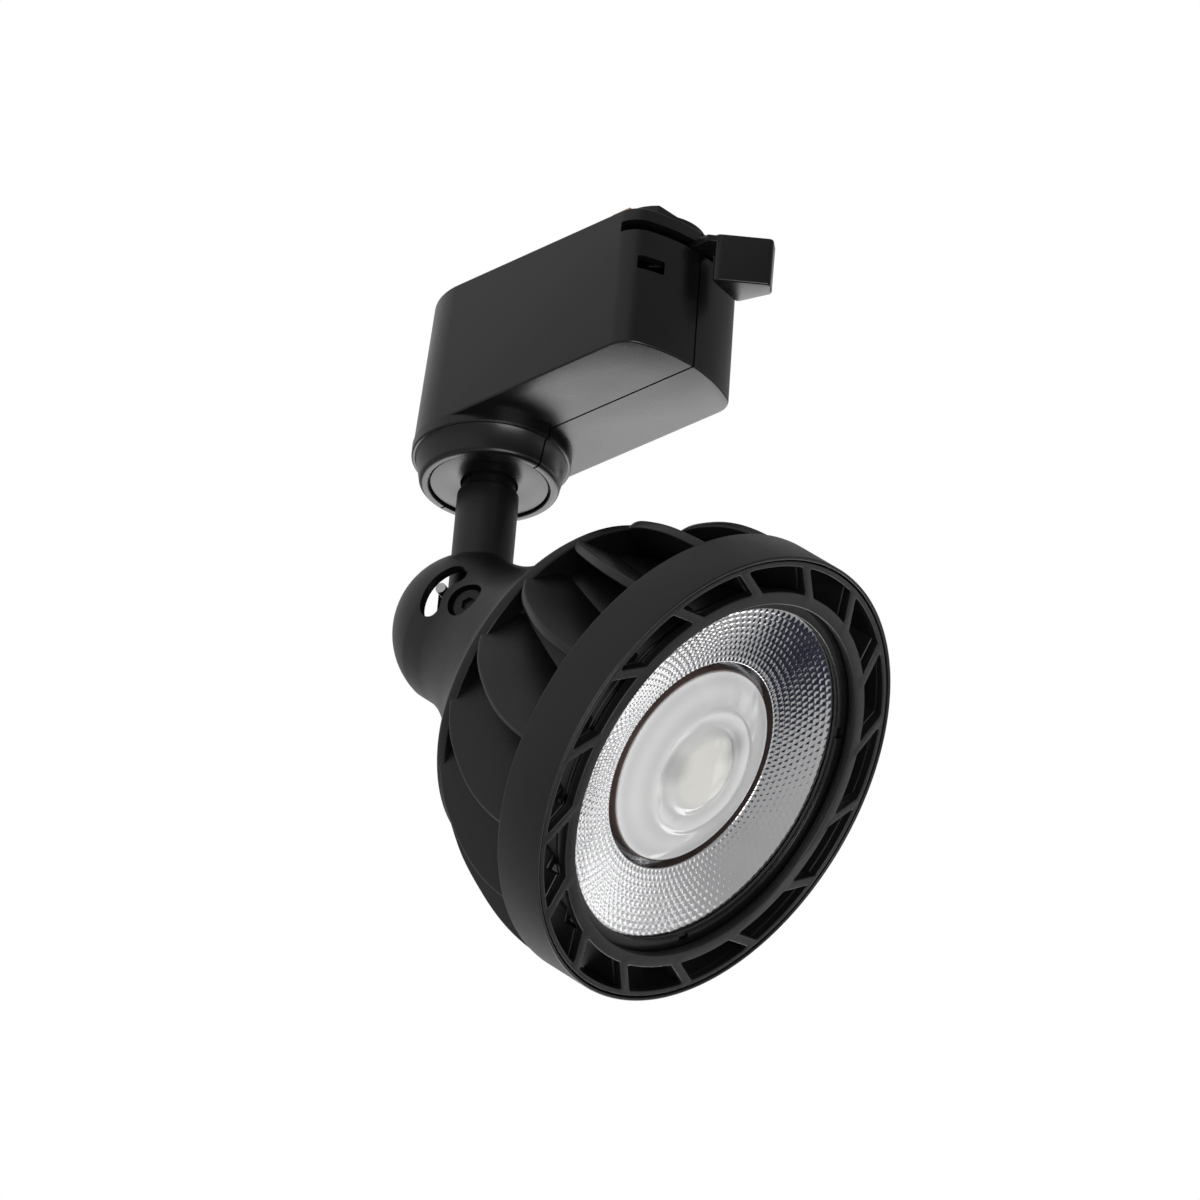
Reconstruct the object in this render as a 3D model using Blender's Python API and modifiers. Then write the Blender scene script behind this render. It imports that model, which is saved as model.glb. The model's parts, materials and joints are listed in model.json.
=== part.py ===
"""Track spotlight: a single-circuit track adapter, a pan stem and a finned head that tilts.

Frame: metres, +Z up. The origin is on the adapter's top face, where the track's underside
rests on it, and on the pan axis. +X runs along the adapter towards its lock lever.
The head is built in its own frame: its local Z is the light's axis, pointing out of the
lens, and its local -X points up the lens.
"""
import math

import bmesh
import bpy
from mathutils import Matrix, Vector

MM = 0.001
GAP = 0.3 * MM                      # clearance between pieces that touch
ROUND = 48                          # sides of the large turned pieces
SMALL_ROUND = 20                    # sides of small turned pieces

# ---- rest pose -------------------------------------------------------------------------
PAN = math.radians(20.2)            # head direction in plan, from +X towards +Y
TILT = math.radians(37.4)           # light axis below the horizontal

# ---- adapter ---------------------------------------------------------------------------
BOX_HEIGHT = 33.9 * MM
BOX_WIDTH = 34.0 * MM               # as wide as a single-circuit track
BOX_END = 59.1 * MM                 # lever end, from the pan axis
BOX_WALL = 1.8 * MM
BOX_END_RADIUS = 34.0 * MM          # the lever end is a shallow arc
BOX_CORNER = 6.0 * MM
BOX_TOP_LENGTH_SCALE = 0.9566       # draft: the top outline against the bottom one
BOX_TOP_WIDTH_SCALE = 0.98
BOX_DRAFT_CENTRE = 45.2 * MM
LAP = 3.0 * MM                      # the near shell's top wall passes the seam by this much

BOSS_FLANGE_RADIUS = 17.2 * MM
BOSS_FLANGE_HEIGHT = 2.2 * MM
BOSS_TOP_RADIUS = 16.1 * MM
BOSS_RADIUS = 15.2 * MM
BOSS_DROP = 8.4 * MM                # boss below the box
BOSS_WALL = 2.2 * MM
BOSS_FLOOR = 1.5 * MM
DENT_PLACE = (57.4 * MM, -15.0 * MM, -13.4 * MM)   # the mould's notch on the near corner
DENT_RADIUS = 1.6 * MM
DENT_HEIGHT = 6.0 * MM
COLUMN_RADIUS = 3.4 * MM            # screw posts across the case
COLUMN_PLACES = ((10.0 * MM, -7.0 * MM), (52.0 * MM, -24.0 * MM))
SCREW_RADIUS = 1.3 * MM
SCREW_HEAD_RADIUS = 2.5 * MM
SCREW_HEAD_HEIGHT = 1.6 * MM
SCREW_REACH = 2.4 * MM               # the tip, past the case's seam
SCREW_TIP_ROOM = 3.6 * MM
SCREW_POCKET = 3.5 * MM

# ---- pan bearing and stem --------------------------------------------------------------
PAN_PLATE_RADIUS = 12.8 * MM
PAN_PLATE_THICKNESS = 1.2 * MM
PAN_PLATE_INSET = 0.5 * MM
NECK_RADIUS = 5.75 * MM
STEM_RADIUS = 6.65 * MM
STEM_BORE = 3.4 * MM
SHOULDER_Z = -44.4 * MM
SHOULDER_CHAMFER = 0.8 * MM
STEM_BOTTOM_Z = -71.0 * MM
NECK_TOP_Z = -29.0 * MM
NUT_RADIUS = 8.6 * MM
NUT_HEIGHT = 4.0 * MM
WASHER_RADIUS = 9.2 * MM
WASHER_THICKNESS = 1.0 * MM
STOP_TAB_REACH = 11.6 * MM
STOP_TAB_WIDTH = 2.4 * MM
STOP_POST_WIDTH = 2.4 * MM

# ---- lock ------------------------------------------------------------------------------
LOCK_X = 46.0 * MM
TURRET_RADIUS = 9.8 * MM
TURRET_NECK = 6.5 * MM
TURRET_BASE = 1.9 * MM
TURRET_TOP = 5.5 * MM
TURRET_BAR_WIDTH = 12.0 * MM
TURRET_DEPTH = 8.4 * MM             # neck below the adapter's top face
LEVER_TOP_Z = -3.5 * MM
LEVER_THICKNESS = 1.6 * MM
LEVER_HUB_RADIUS = 9.6 * MM
LEVER_ARM_WIDTH = 5.6 * MM
TAB_HEIGHT = 11.2 * MM
TAB_OUTLINE = ((17.6, -2.2), (26.6, 7.4), (24.2, 10.6), (15.9, 8.4))   # mm from the lock axis
TAB_FILLET = 0.9 * MM
LOCK_TRAVEL = math.radians(56.0)    # the lever's sweep, towards the near side
LEVER_SIDE_GAP = 0.45 * MM          # slot clearance beside the arm, above and below it
CONTACT_REACH = 12.4 * MM
CONTACT_WIDTH = 5.0 * MM
CONTACT_THICKNESS = 0.8 * MM
CLIP_RADIUS = 8.6 * MM
GUIDE_LENGTH = 20.0 * MM
GUIDE_WIDTH = 17.4 * MM
GUIDE_HEIGHT = 4.6 * MM
GUIDE_X = 20.0 * MM
GUIDE_CORNER = 2.0 * MM
GROOVE_Z = 2.0 * MM                 # the guide's side grooves ride on the track's lips
GROOVE_HEIGHT = 1.6 * MM
GROOVE_DEPTH = 1.5 * MM
SEAT_DEPTH = 0.5 * MM               # pockets in the top face for the guide and the turret

# ---- driver ----------------------------------------------------------------------------
BOARD_LENGTH = 42.0 * MM
BOARD_WIDTH = 26.0 * MM
BOARD_THICKNESS = 1.6 * MM
BOARD_X = 30.0 * MM
BOARD_Z = -26.0 * MM

# ---- head: the reference point is on the light axis, beside the stem's axis ---------------
HEAD_REFERENCE_Z = -78.9 * MM
PIVOT_FORWARD = 6.5 * MM            # pivot from the reference point, along the light axis
PIVOT_ABOVE = 1.2 * MM              # and towards the top of the lens
TAIL_RADIUS = 17.6 * MM
TAIL_WALL = 2.3 * MM
TAIL_WAIST = 17.2 * MM
DISC_RADIUS = 38.8 * MM
DISC_A = 31.0 * MM                  # rear disc's edge along the light axis
DISC_THICKNESS = 1.6 * MM
PLATFORM_BACK = 34.0 * MM
PLATFORM_FRONT = 40.0 * MM
CORE_REAR_RADIUS = 33.6 * MM
CORE_FRONT_RADIUS = 41.2 * MM
CORE_WALL = 1.7 * MM
CORE_FRONT_A = 69.6 * MM
BAND_RADIUS = 50.85 * MM
BAND_REAR_A = 62.0 * MM
BAND_FRONT_A = 74.2 * MM
BAND_WALL = 1.9 * MM
BAND_LIP = 0.75 * MM
GRILLE_BACK_A = 72.2 * MM
GRILLE_THICKNESS = 2.3 * MM
GRILLE_CROWN = 0.5 * MM             # the face rises this much from rim to bore
GRILLE_BORE = 40.2 * MM
SLOT_INNER = 43.0 * MM
SLOT_OUTER = 48.6 * MM
FIN_COUNT = 16
FIN_THICKNESS = 2.1 * MM
FIN_OFFSET = 30.0 * MM              # each fin's plane passes the light axis at this distance
FIN_TURN = math.radians(-41.4)      # direction of fin 0's plane, from the top of the lens

# ---- tilt joint ------------------------------------------------------------------------
TILT_UP = math.radians(34.0)        # travel above the rest pose, stopped by the pin
TILT_DOWN = math.radians(37.6)
KNUCKLE_HALF_WIDTH = 6.4 * MM
KNUCKLE_LUG = 5.2 * MM
PIVOT_RADIUS = 2.0 * MM
PIVOT_HEAD_RADIUS = 3.7 * MM
PIVOT_HEAD_HEIGHT = 1.4 * MM
PIVOT_SEAT = 14.8 * MM              # floor of the screw recess, from the middle plane
RECESS_RADIUS = 4.3 * MM
CHEEK_BOSS_RADIUS = 5.0 * MM
CHEEK_INNER = 7.3 * MM              # inner faces of the cheek bosses
KIDNEY_RADIUS = 8.8 * MM
KIDNEY_WIDTH = 5.0 * MM
STOP_PIN_RADIUS = 1.2 * MM
STOP_PIN_REACH = 16.2 * MM          # into the near cheek's kidney slot
STOP_PIN_TAIL = 5.8 * MM            # and its other end, inside the knuckle
SLOT_SIDE_GAP = 0.45 * MM           # the tail's slot, beside the stem
SLOT_SPARE = math.radians(1.0)      # and past each end of its travel

# ---- optics ----------------------------------------------------------------------------
REFLECTOR_WALL = 1.0 * MM
REFLECTOR_FOOT = 11.5 * MM          # inner radius where the bowl stands on its holder
REFLECTOR_FOOT_A = 46.9 * MM
WELL_RADIUS = 23.6 * MM             # straight-sided well round the centre lens
WELL_FLOOR_A = 62.4 * MM
WELL_RIM_A = 66.8 * MM
FLARE_RIM_A = 70.0 * MM             # the stippled flare rises to here at its rim
FLANGE_WIDTH = 1.4 * MM
LENS_RADIUS = 21.6 * MM
LENS_FOOT = 9.4 * MM
LENS_SHOULDER_A = 63.2 * MM
LENS_EDGE_A = 67.0 * MM
LENS_CROWN = 4.6 * MM
GASKET_THICKNESS = 0.6 * MM
RING_BORE = 38.0 * MM
RING_OUTER = CORE_FRONT_RADIUS
HOLDER_RADIUS = 15.7 * MM
EMITTER_RADIUS = 7.2 * MM
PAD_SIDE = 20.0 * MM
BOARD_SIDE = 19.0 * MM              # the light source's own board
HOLDER_SCREW_ASIDE = 13.1 * MM
HOLDER_SCREW_RADIUS = 1.1 * MM
HOLDER_HEAD_RADIUS = 1.6 * MM
HOLDER_HEAD_HEIGHT = 1.2 * MM
WIRE_RADIUS = 0.8 * MM


# ---- shared helpers --------------------------------------------------------------------

def clear_scene():
    for item in list(bpy.data.objects):
        bpy.data.objects.remove(item, do_unlink=True)


def make_collection(name):
    collection = bpy.data.collections.new(name)
    bpy.context.scene.collection.children.link(collection)
    return collection


def make_material(name, colour, roughness, metallic=0.0, transmission=0.0):
    material = bpy.data.materials.new(name)
    material.use_nodes = True
    shader = material.node_tree.nodes["Principled BSDF"]
    shader.inputs["Base Color"].default_value = (*colour, 1.0)
    shader.inputs["Roughness"].default_value = roughness
    shader.inputs["Metallic"].default_value = metallic
    shader.inputs["Transmission Weight"].default_value = transmission
    return material


def add_object(name, data, material=None, parent=None, place=None, cutter=False):
    """Link an object; a cutter goes to its own hidden collection."""
    item = bpy.data.objects.new(name, data)
    (CUTTERS if cutter else PARTS).objects.link(item)
    if cutter:
        item.hide_render = True
        item.display_type = "WIRE"
    if material is not None:
        data.materials.append(material)
    item.parent = parent
    if place is not None:
        item.matrix_local = place
    return item


def add_frame(name, parent, place):
    frame = bpy.data.objects.new(name, None)
    PARTS.objects.link(frame)
    frame.parent = parent
    frame.matrix_local = place
    return frame


def mesh_from(build, name):
    """A mesh from a function that fills a bmesh."""
    shape = bmesh.new()
    build(shape)
    bmesh.ops.recalc_face_normals(shape, faces=shape.faces)
    mesh = bpy.data.meshes.new(name)
    shape.to_mesh(mesh)
    shape.free()
    return mesh


def smooth(mesh, degrees=35.0):
    mesh.shade_smooth()
    mesh.set_sharp_from_angle(angle=math.radians(degrees))


def turned(name, profile, sides=SMALL_ROUND, **placing):
    """A turned piece: (radius, height) points down the outer side, about local Z."""
    mesh = bpy.data.meshes.new(name)
    points = [(radius, 0.0, height) for radius, height in profile]
    edges = [(i, i + 1) for i in range(len(points) - 1)]
    if profile[0][0] > 0.0 or profile[-1][0] > 0.0:
        edges.append((len(points) - 1, 0))
    mesh.from_pydata(points, edges, [])
    item = add_object(name, mesh, **placing)
    screw = item.modifiers.new("turn", "SCREW")
    screw.axis = "Z"
    screw.steps = sides
    screw.render_steps = sides
    screw.use_merge_vertices = True
    screw.merge_threshold = 0.00001
    screw.use_smooth_shade = True
    return item


def ring_profile(outer, inner, top, bottom):
    return [(outer, top), (outer, bottom), (inner, bottom), (inner, top)]


def disc_profile(radius, top, bottom):
    return [(0.0, top), (radius, top), (radius, bottom), (0.0, bottom)]


def prism(name, outline, low, high, axis="Z", **placing):
    """An outline extruded between two heights along one local axis."""
    turn = {"Z": Matrix.Identity(4),
            "Y": Matrix.Rotation(math.radians(90.0), 4, "X"),
            "X": Matrix(((0, 0, 1, 0), (1, 0, 0, 0), (0, 1, 0, 0), (0, 0, 0, 1)))}[axis]

    def build(shape):
        base = [shape.verts.new((x, y, low)) for x, y in outline]
        face = shape.faces.new(base)
        grown = bmesh.ops.extrude_face_region(shape, geom=[face])
        tops = [v for v in grown["geom"] if isinstance(v, bmesh.types.BMVert)]
        bmesh.ops.translate(shape, verts=tops, vec=(0.0, 0.0, high - low))
        bmesh.ops.transform(shape, matrix=turn, verts=shape.verts)

    mesh = mesh_from(build, name)
    return add_object(name, mesh, **placing)


def box(name, centre, size, **placing):
    def build(shape):
        bmesh.ops.create_cube(shape, size=1.0)
        bmesh.ops.scale(shape, vec=size, verts=shape.verts)
        bmesh.ops.translate(shape, vec=centre, verts=shape.verts)

    return add_object(name, mesh_from(build, name), **placing)


def rod(name, centre, radius, length, axis="Z", sides=SMALL_ROUND, **placing):
    turn = {"Z": Matrix.Identity(4), "Y": Matrix.Rotation(math.radians(90.0), 4, "X"),
            "X": Matrix.Rotation(math.radians(90.0), 4, "Y")}[axis]

    def build(shape):
        bmesh.ops.create_cone(shape, cap_ends=True, segments=sides, radius1=radius,
                              radius2=radius, depth=length,
                              matrix=Matrix.Translation(centre) @ turn)

    mesh = mesh_from(build, name)
    smooth(mesh)
    return add_object(name, mesh, **placing)


def join_shape(item, other, operation):
    """Add or cut another solid by a Boolean; the other one becomes a hidden guide."""
    step = item.modifiers.new(other.name, "BOOLEAN")
    step.operation = operation
    step.solver = "EXACT"
    step.object = other


def cut(item, *others):
    for other in others:
        join_shape(item, other, "DIFFERENCE")


def unite(item, *others):
    for other in others:
        join_shape(item, other, "UNION")


def arc(centre, radius, start, end, steps):
    return [(centre[0] + radius * math.cos(start + (end - start) * i / steps),
             centre[1] + radius * math.sin(start + (end - start) * i / steps))
            for i in range(steps + 1)]


def rounded(corners, radius, steps=3):
    """An outline with each of its convex corners rounded."""
    points = []
    for index, corner in enumerate(corners):
        here = Vector(corner)
        back = (Vector(corners[index - 1]) - here).normalized()
        ahead = (Vector(corners[(index + 1) % len(corners)]) - here).normalized()
        half = back.angle(ahead) / 2.0
        centre = here + (back + ahead).normalized() * (radius / math.sin(half))
        first = here + back * (radius / math.tan(half)) - centre
        last = here + ahead * (radius / math.tan(half)) - centre
        sweep = first.angle_signed(last)
        for step in range(steps + 1):
            spoke = first.copy()
            spoke.rotate(Matrix.Rotation(-sweep * step / steps, 2))
            points.append(tuple(centre + spoke))
    return points


def wire(name, route, radius, material, parent=None, place=None):
    """An insulated wire along a smooth curve through its route's points."""
    points = [Vector(p) for p in route]
    path = []
    for index in range(len(points) - 1):
        before = points[max(index - 1, 0)]
        start, end = points[index], points[index + 1]
        after = points[min(index + 2, len(points) - 1)]
        for step in range(4):
            t = step / 4.0
            path.append(0.5 * (2 * start + (end - before) * t
                               + (2 * before - 5 * start + 4 * end - after) * t ** 2
                               + (3 * start - before - 3 * end + after) * t ** 3))
    path.append(points[-1])
    curve = bpy.data.curves.new(name, "CURVE")
    curve.dimensions = "3D"
    curve.bevel_depth = radius
    curve.bevel_resolution = 1
    curve.use_fill_caps = True
    spline = curve.splines.new("POLY")
    spline.points.add(len(path) - 1)
    for point, place_at in zip(spline.points, path):
        point.co = (*place_at, 1.0)
    return add_object(name, curve, material=material, parent=parent, place=place)


# ---- adapter ---------------------------------------------------------------------------

def box_outline(inset=0.0):
    """The adapter's plan at its bottom: a half round, straight sides and a shallow arc."""
    half = BOX_WIDTH / 2.0 - inset
    end = BOX_END - inset
    end_radius = BOX_END_RADIUS - inset
    corner = max(BOX_CORNER - inset, 1.0 * MM)
    centre_x = end - end_radius
    fillet_y = half - corner
    fillet_x = centre_x + math.sqrt((end_radius - corner) ** 2 - fillet_y ** 2)
    meet = math.atan2(fillet_y, fillet_x - centre_x)
    points = arc((0.0, 0.0), half, math.radians(90.0), math.radians(270.0), 16)
    points += arc((fillet_x, -fillet_y), corner, math.radians(-90.0), -meet, 5)
    points += arc((centre_x, 0.0), end_radius, -meet, meet, 8)[1:-1]
    points += arc((fillet_x, fillet_y), corner, meet, math.radians(90.0), 5)
    return points


def draft(item):
    """Narrow an adapter solid towards its top."""
    for vertex in item.data.vertices:
        rise = (vertex.co.z + BOX_HEIGHT) / BOX_HEIGHT
        along = 1.0 + (BOX_TOP_LENGTH_SCALE - 1.0) * rise
        across = 1.0 + (BOX_TOP_WIDTH_SCALE - 1.0) * rise
        vertex.co.x = BOX_DRAFT_CENTRE + (vertex.co.x - BOX_DRAFT_CENTRE) * along
        vertex.co.y *= across


def lock_point(radius, angle):
    return LOCK_X + radius * math.cos(angle), radius * math.sin(angle)


def adapter_cutters():
    """What is cut from the adapter's shells: hollow, bearing, turret hole, slot, pockets."""
    hollow = prism("cut_hollow", box_outline(BOX_WALL), BOX_WALL - BOX_HEIGHT, -BOX_WALL,
                   cutter=True)
    draft(hollow)
    boss_bottom = -BOX_HEIGHT - BOSS_DROP
    plate_top = boss_bottom + PAN_PLATE_INSET + PAN_PLATE_THICKNESS + GAP
    bearing = turned("cut_bearing", [
        (0.0, 1.0 * MM - BOX_HEIGHT + BOX_WALL),
        (BOSS_RADIUS - BOSS_WALL, 1.0 * MM - BOX_HEIGHT + BOX_WALL),
        (BOSS_RADIUS - BOSS_WALL, plate_top + BOSS_FLOOR),
        (NECK_RADIUS + GAP, plate_top + BOSS_FLOOR),
        (NECK_RADIUS + GAP, plate_top),
        (PAN_PLATE_RADIUS + GAP, plate_top),
        (PAN_PLATE_RADIUS + GAP, boss_bottom - 1.0 * MM),
        (0.0, boss_bottom - 1.0 * MM)], sides=ROUND, cutter=True)
    turret_hole = rod("cut_turret", (LOCK_X, 0.0, -BOX_WALL), TURRET_NECK + GAP,
                      4.0 * BOX_WALL, sides=32, cutter=True)
    inside = BOX_END - BOX_WALL - LOCK_X - 0.8 * MM
    spare = math.asin((LEVER_ARM_WIDTH / 2.0 + LEVER_SIDE_GAP) / inside)
    start, end = -LOCK_TRAVEL - spare, spare
    sector = [lock_point(inside, end), lock_point(inside, start)]
    sector += [lock_point(24.0 * MM, start + (end - start) * i / 8.0) for i in range(9)]
    lever_slot = prism("cut_lever_slot", sector,
                       LEVER_TOP_Z - LEVER_THICKNESS - LEVER_SIDE_GAP,
                       LEVER_TOP_Z + LEVER_SIDE_GAP, cutter=True)
    guide_pocket = box("cut_guide_pocket", (GUIDE_X, 0.0, 0.0),
                       (GUIDE_LENGTH + 2.0 * GAP, GUIDE_WIDTH + 2.0 * GAP, 2.0 * SEAT_DEPTH),
                       cutter=True)
    turret_pocket = rod("cut_turret_pocket", (LOCK_X, 0.0, 0.0), TURRET_RADIUS + GAP,
                        2.0 * SEAT_DEPTH, sides=32, cutter=True)
    return hollow, bearing, turret_hole, lever_slot, guide_pocket, turret_pocket


def seam_cutter(name, side):
    """What lies past the seam for one shell; the near shell's top wall laps over it."""
    reach = 40.0 * MM
    near = side < 0.0
    seam = -GAP / 2.0 if near else GAP / 2.0
    far_y = reach if near else -reach
    lap_y = LAP if near else LAP + GAP
    lap_z = -BOX_WALL - (0.3 * MM if near else 0.3 * MM + GAP)
    outline = [(seam, -2.0 * reach), (far_y, -2.0 * reach), (far_y, reach), (lap_y, reach),
               (lap_y, lap_z), (seam, lap_z)]
    return prism(name, outline, -reach, 3.0 * reach, axis="X", cutter=True)


def adapter_shell(name, side, material, cutters):
    """One half of the adapter's case, with its half of the boss that carries the stem."""
    shell = prism(name, box_outline(), -BOX_HEIGHT, 0.0, material=material)
    draft(shell)
    smooth(shell.data)
    boss_bottom = -BOX_HEIGHT - BOSS_DROP
    flange_bottom = -BOX_HEIGHT - BOSS_FLANGE_HEIGHT
    boss = turned("guide_boss_" + name, [
        (0.0, 0.4 * MM - BOX_HEIGHT), (BOSS_FLANGE_RADIUS, 0.4 * MM - BOX_HEIGHT),
        (BOSS_FLANGE_RADIUS, flange_bottom), (BOSS_TOP_RADIUS, flange_bottom - 0.3 * MM),
        (BOSS_RADIUS, boss_bottom + 0.7 * MM), (BOSS_RADIUS - 0.5 * MM, boss_bottom),
        (0.0, boss_bottom)], sides=ROUND, cutter=True)
    unite(shell, boss)
    cut(shell, *cutters)
    if side < 0.0:
        dent = rod("cut_dent", DENT_PLACE, DENT_RADIUS, DENT_HEIGHT, sides=10, cutter=True)
        cut(shell, dent)
    cut(shell, seam_cutter("cut_seam_" + name, side))
    return shell


def case_screw(name, head_centre):
    """A small slotted screw along Y, its head on the far side."""
    head = rod(name, head_centre, SCREW_HEAD_RADIUS, SCREW_HEAD_HEIGHT, axis="Y", sides=14,
               material=STEEL)
    x, head_y, z = head_centre
    shank = rod("guide_shank_" + name, (x, (head_y - SCREW_REACH) / 2.0, z), SCREW_RADIUS,
                head_y + SCREW_REACH, axis="Y", sides=10, cutter=True)
    slot = box("cut_slot_" + name,
               Vector(head_centre) + Vector((0.0, SCREW_HEAD_HEIGHT / 2.0, 0.0)),
               (3.0 * MM, 1.2 * MM, 0.7 * MM), cutter=True)
    unite(head, shank)
    cut(head, slot)


def adapter():
    cutters = adapter_cutters()
    near = adapter_shell("adapter_shell_near", -1.0, BLACK_PLASTIC, cutters)
    far = adapter_shell("adapter_shell_far", 1.0, BLACK_PLASTIC, cutters)
    for index, (x, z) in enumerate(COLUMN_PLACES):
        screw_column(near, far, index + 1, x, z)
    boss_bottom = -BOX_HEIGHT - BOSS_DROP
    plate_bottom = boss_bottom + PAN_PLATE_INSET
    turned("pan_plate",
           ring_profile(PAN_PLATE_RADIUS, NECK_RADIUS + GAP,
                        plate_bottom + PAN_PLATE_THICKNESS, plate_bottom),
           sides=ROUND, material=BLACK_PLASTIC)
    guide_foot()
    pan_stop_post()


def screw_column(near, far, number, x, z):
    """A post across the case, half in each shell, with a screw from the far side."""
    inner = BOX_WIDTH / 2.0 - BOX_WALL / 2.0
    for shell, side in ((near, -1.0), (far, 1.0)):
        half = rod("guide_post_%d_%s" % (number, shell.name),
                   (x, side * inner / 2.0 + side * GAP / 4.0, z), COLUMN_RADIUS,
                   inner - GAP / 2.0 - 0.6 * MM, axis="Y", sides=16, cutter=True)
        unite(shell, half)
    pocket = rod("cut_pocket_%d" % number, (x, BOX_WIDTH / 2.0, z), SCREW_HEAD_RADIUS + GAP,
                 2.0 * SCREW_POCKET, axis="Y", sides=16, cutter=True)
    bore_end = -SCREW_REACH - SCREW_TIP_ROOM
    bore_start = BOX_WIDTH / 2.0 - 1.0 * MM
    bore = rod("cut_screw_%d" % number, (x, (bore_start + bore_end) / 2.0, z),
               SCREW_RADIUS + GAP, bore_start - bore_end, axis="Y", sides=12, cutter=True)
    cut(far, pocket, bore)
    cut(near, bore)
    seat = BOX_WIDTH / 2.0 - SCREW_POCKET
    case_screw("adapter_screw_%d" % number, (x, seat + GAP + SCREW_HEAD_HEIGHT / 2.0, z))


def guide_foot():
    """The fixed foot that keeps the adapter straight in the track's slot."""
    foot = prism("guide_foot",
                 rounded(((GUIDE_X - GUIDE_LENGTH / 2, -GUIDE_WIDTH / 2),
                          (GUIDE_X + GUIDE_LENGTH / 2, -GUIDE_WIDTH / 2),
                          (GUIDE_X + GUIDE_LENGTH / 2, GUIDE_WIDTH / 2),
                          (GUIDE_X - GUIDE_LENGTH / 2, GUIDE_WIDTH / 2)), GUIDE_CORNER),
                 GAP - SEAT_DEPTH, GUIDE_HEIGHT, material=BLACK_PLASTIC)
    smooth(foot.data)
    for side in (-1.0, 1.0):
        groove = box("cut_guide_groove_%d" % side,
                     (GUIDE_X, side * GUIDE_WIDTH / 2.0, GROOVE_Z),
                     (2.0 * GUIDE_LENGTH, 2.0 * GROOVE_DEPTH, GROOVE_HEIGHT), cutter=True)
        cut(foot, groove)


def boss_floor_top():
    boss_bottom = -BOX_HEIGHT - BOSS_DROP
    return boss_bottom + PAN_PLATE_INSET + PAN_PLATE_THICKNESS + GAP + BOSS_FLOOR


def pan_stop_post():
    """A post on the boss floor, opposite the rest direction; it ends the pan travel."""
    floor = boss_floor_top()
    centre = Vector((-(STOP_TAB_REACH - 0.2 * MM) * math.cos(PAN),
                     -(STOP_TAB_REACH - 0.2 * MM) * math.sin(PAN), floor + GAP + 1.5 * MM))
    box("pan_stop_post", (0.0, 0.0, 0.0), (2.4 * MM, STOP_POST_WIDTH, 3.0 * MM),
        material=STEEL, place=Matrix.Translation(centre) @ Matrix.Rotation(PAN, 4, "Z"))


# ---- lock lever and contact turret -----------------------------------------------------

def lock(frame):
    """The turret that hooks into the track, and the lever that turns it."""
    turret = turned("lock_turret", [
        (0.0, TURRET_TOP), (TURRET_RADIUS - 0.5 * MM, TURRET_TOP),
        (TURRET_RADIUS, TURRET_TOP - 0.5 * MM), (TURRET_RADIUS, GAP - SEAT_DEPTH),
        (TURRET_NECK, GAP - SEAT_DEPTH),
        (TURRET_NECK, -TURRET_DEPTH), (0.0, -TURRET_DEPTH)], sides=32,
        material=BLACK_PLASTIC, parent=frame)
    for side in (-1.0, 1.0):
        flat = box("cut_turret_flat_%d" % side,
                   (side * (TURRET_BAR_WIDTH / 2.0 + 5.0 * MM), 0.0,
                    TURRET_BASE + 5.0 * MM), (10.0 * MM, 30.0 * MM, 10.0 * MM),
                   parent=frame, cutter=True)
        cut(turret, flat)
        seat = box("cut_contact_seat_%d" % side, (0.0, side * 8.0 * MM, 3.4 * MM),
                   (CONTACT_WIDTH + 2.0 * GAP, 10.0 * MM, CONTACT_THICKNESS + 2.0 * GAP),
                   parent=frame, cutter=True)
        cut(turret, seat)
        contact = "contact_live" if side < 0.0 else "contact_neutral"
        inner = 3.0 * MM + GAP
        box(contact, (0.0, side * (inner + CONTACT_REACH) / 2.0, 3.4 * MM),
            (CONTACT_WIDTH, CONTACT_REACH - inner, CONTACT_THICKNESS),
            material=COPPER, parent=frame)
    clip_groove = turned("cut_clip_groove",
                         ring_profile(TURRET_NECK + 1.0 * MM, TURRET_NECK - 1.0 * MM,
                                      -5.4 * MM, -6.9 * MM),
                         sides=32, parent=frame, cutter=True)
    cut(turret, clip_groove)
    turned("lock_clip",
           ring_profile(CLIP_RADIUS, TURRET_NECK - 1.0 * MM + GAP, -5.4 * MM - GAP,
                        -6.9 * MM + GAP), sides=32, material=STEEL, parent=frame)
    lever(frame)


def lever(frame):
    bottom = LEVER_TOP_Z - LEVER_THICKNESS
    arm = turned("lock_lever",
                 ring_profile(LEVER_HUB_RADIUS, TURRET_NECK + GAP, LEVER_TOP_Z, bottom),
                 sides=32, material=BLACK_PLASTIC, parent=frame)
    start = LEVER_HUB_RADIUS - 1.4 * MM
    end = 19.5 * MM
    half = LEVER_ARM_WIDTH / 2.0
    corner = 17.0 * MM
    rail = prism("guide_lever_arm", ((start, -half), (corner, -half), (end, 0.0), (end, half),
                                     (start, half)),
                 bottom, LEVER_TOP_Z, parent=frame, cutter=True)
    corners = [(x * MM, y * MM) for x, y in TAB_OUTLINE]
    tab = prism("guide_lever_tab", rounded(corners, TAB_FILLET), LEVER_TOP_Z - TAB_HEIGHT,
                LEVER_TOP_Z + 0.4 * MM, parent=frame, cutter=True)
    unite(arm, rail, tab)


# ---- driver ----------------------------------------------------------------------------

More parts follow.
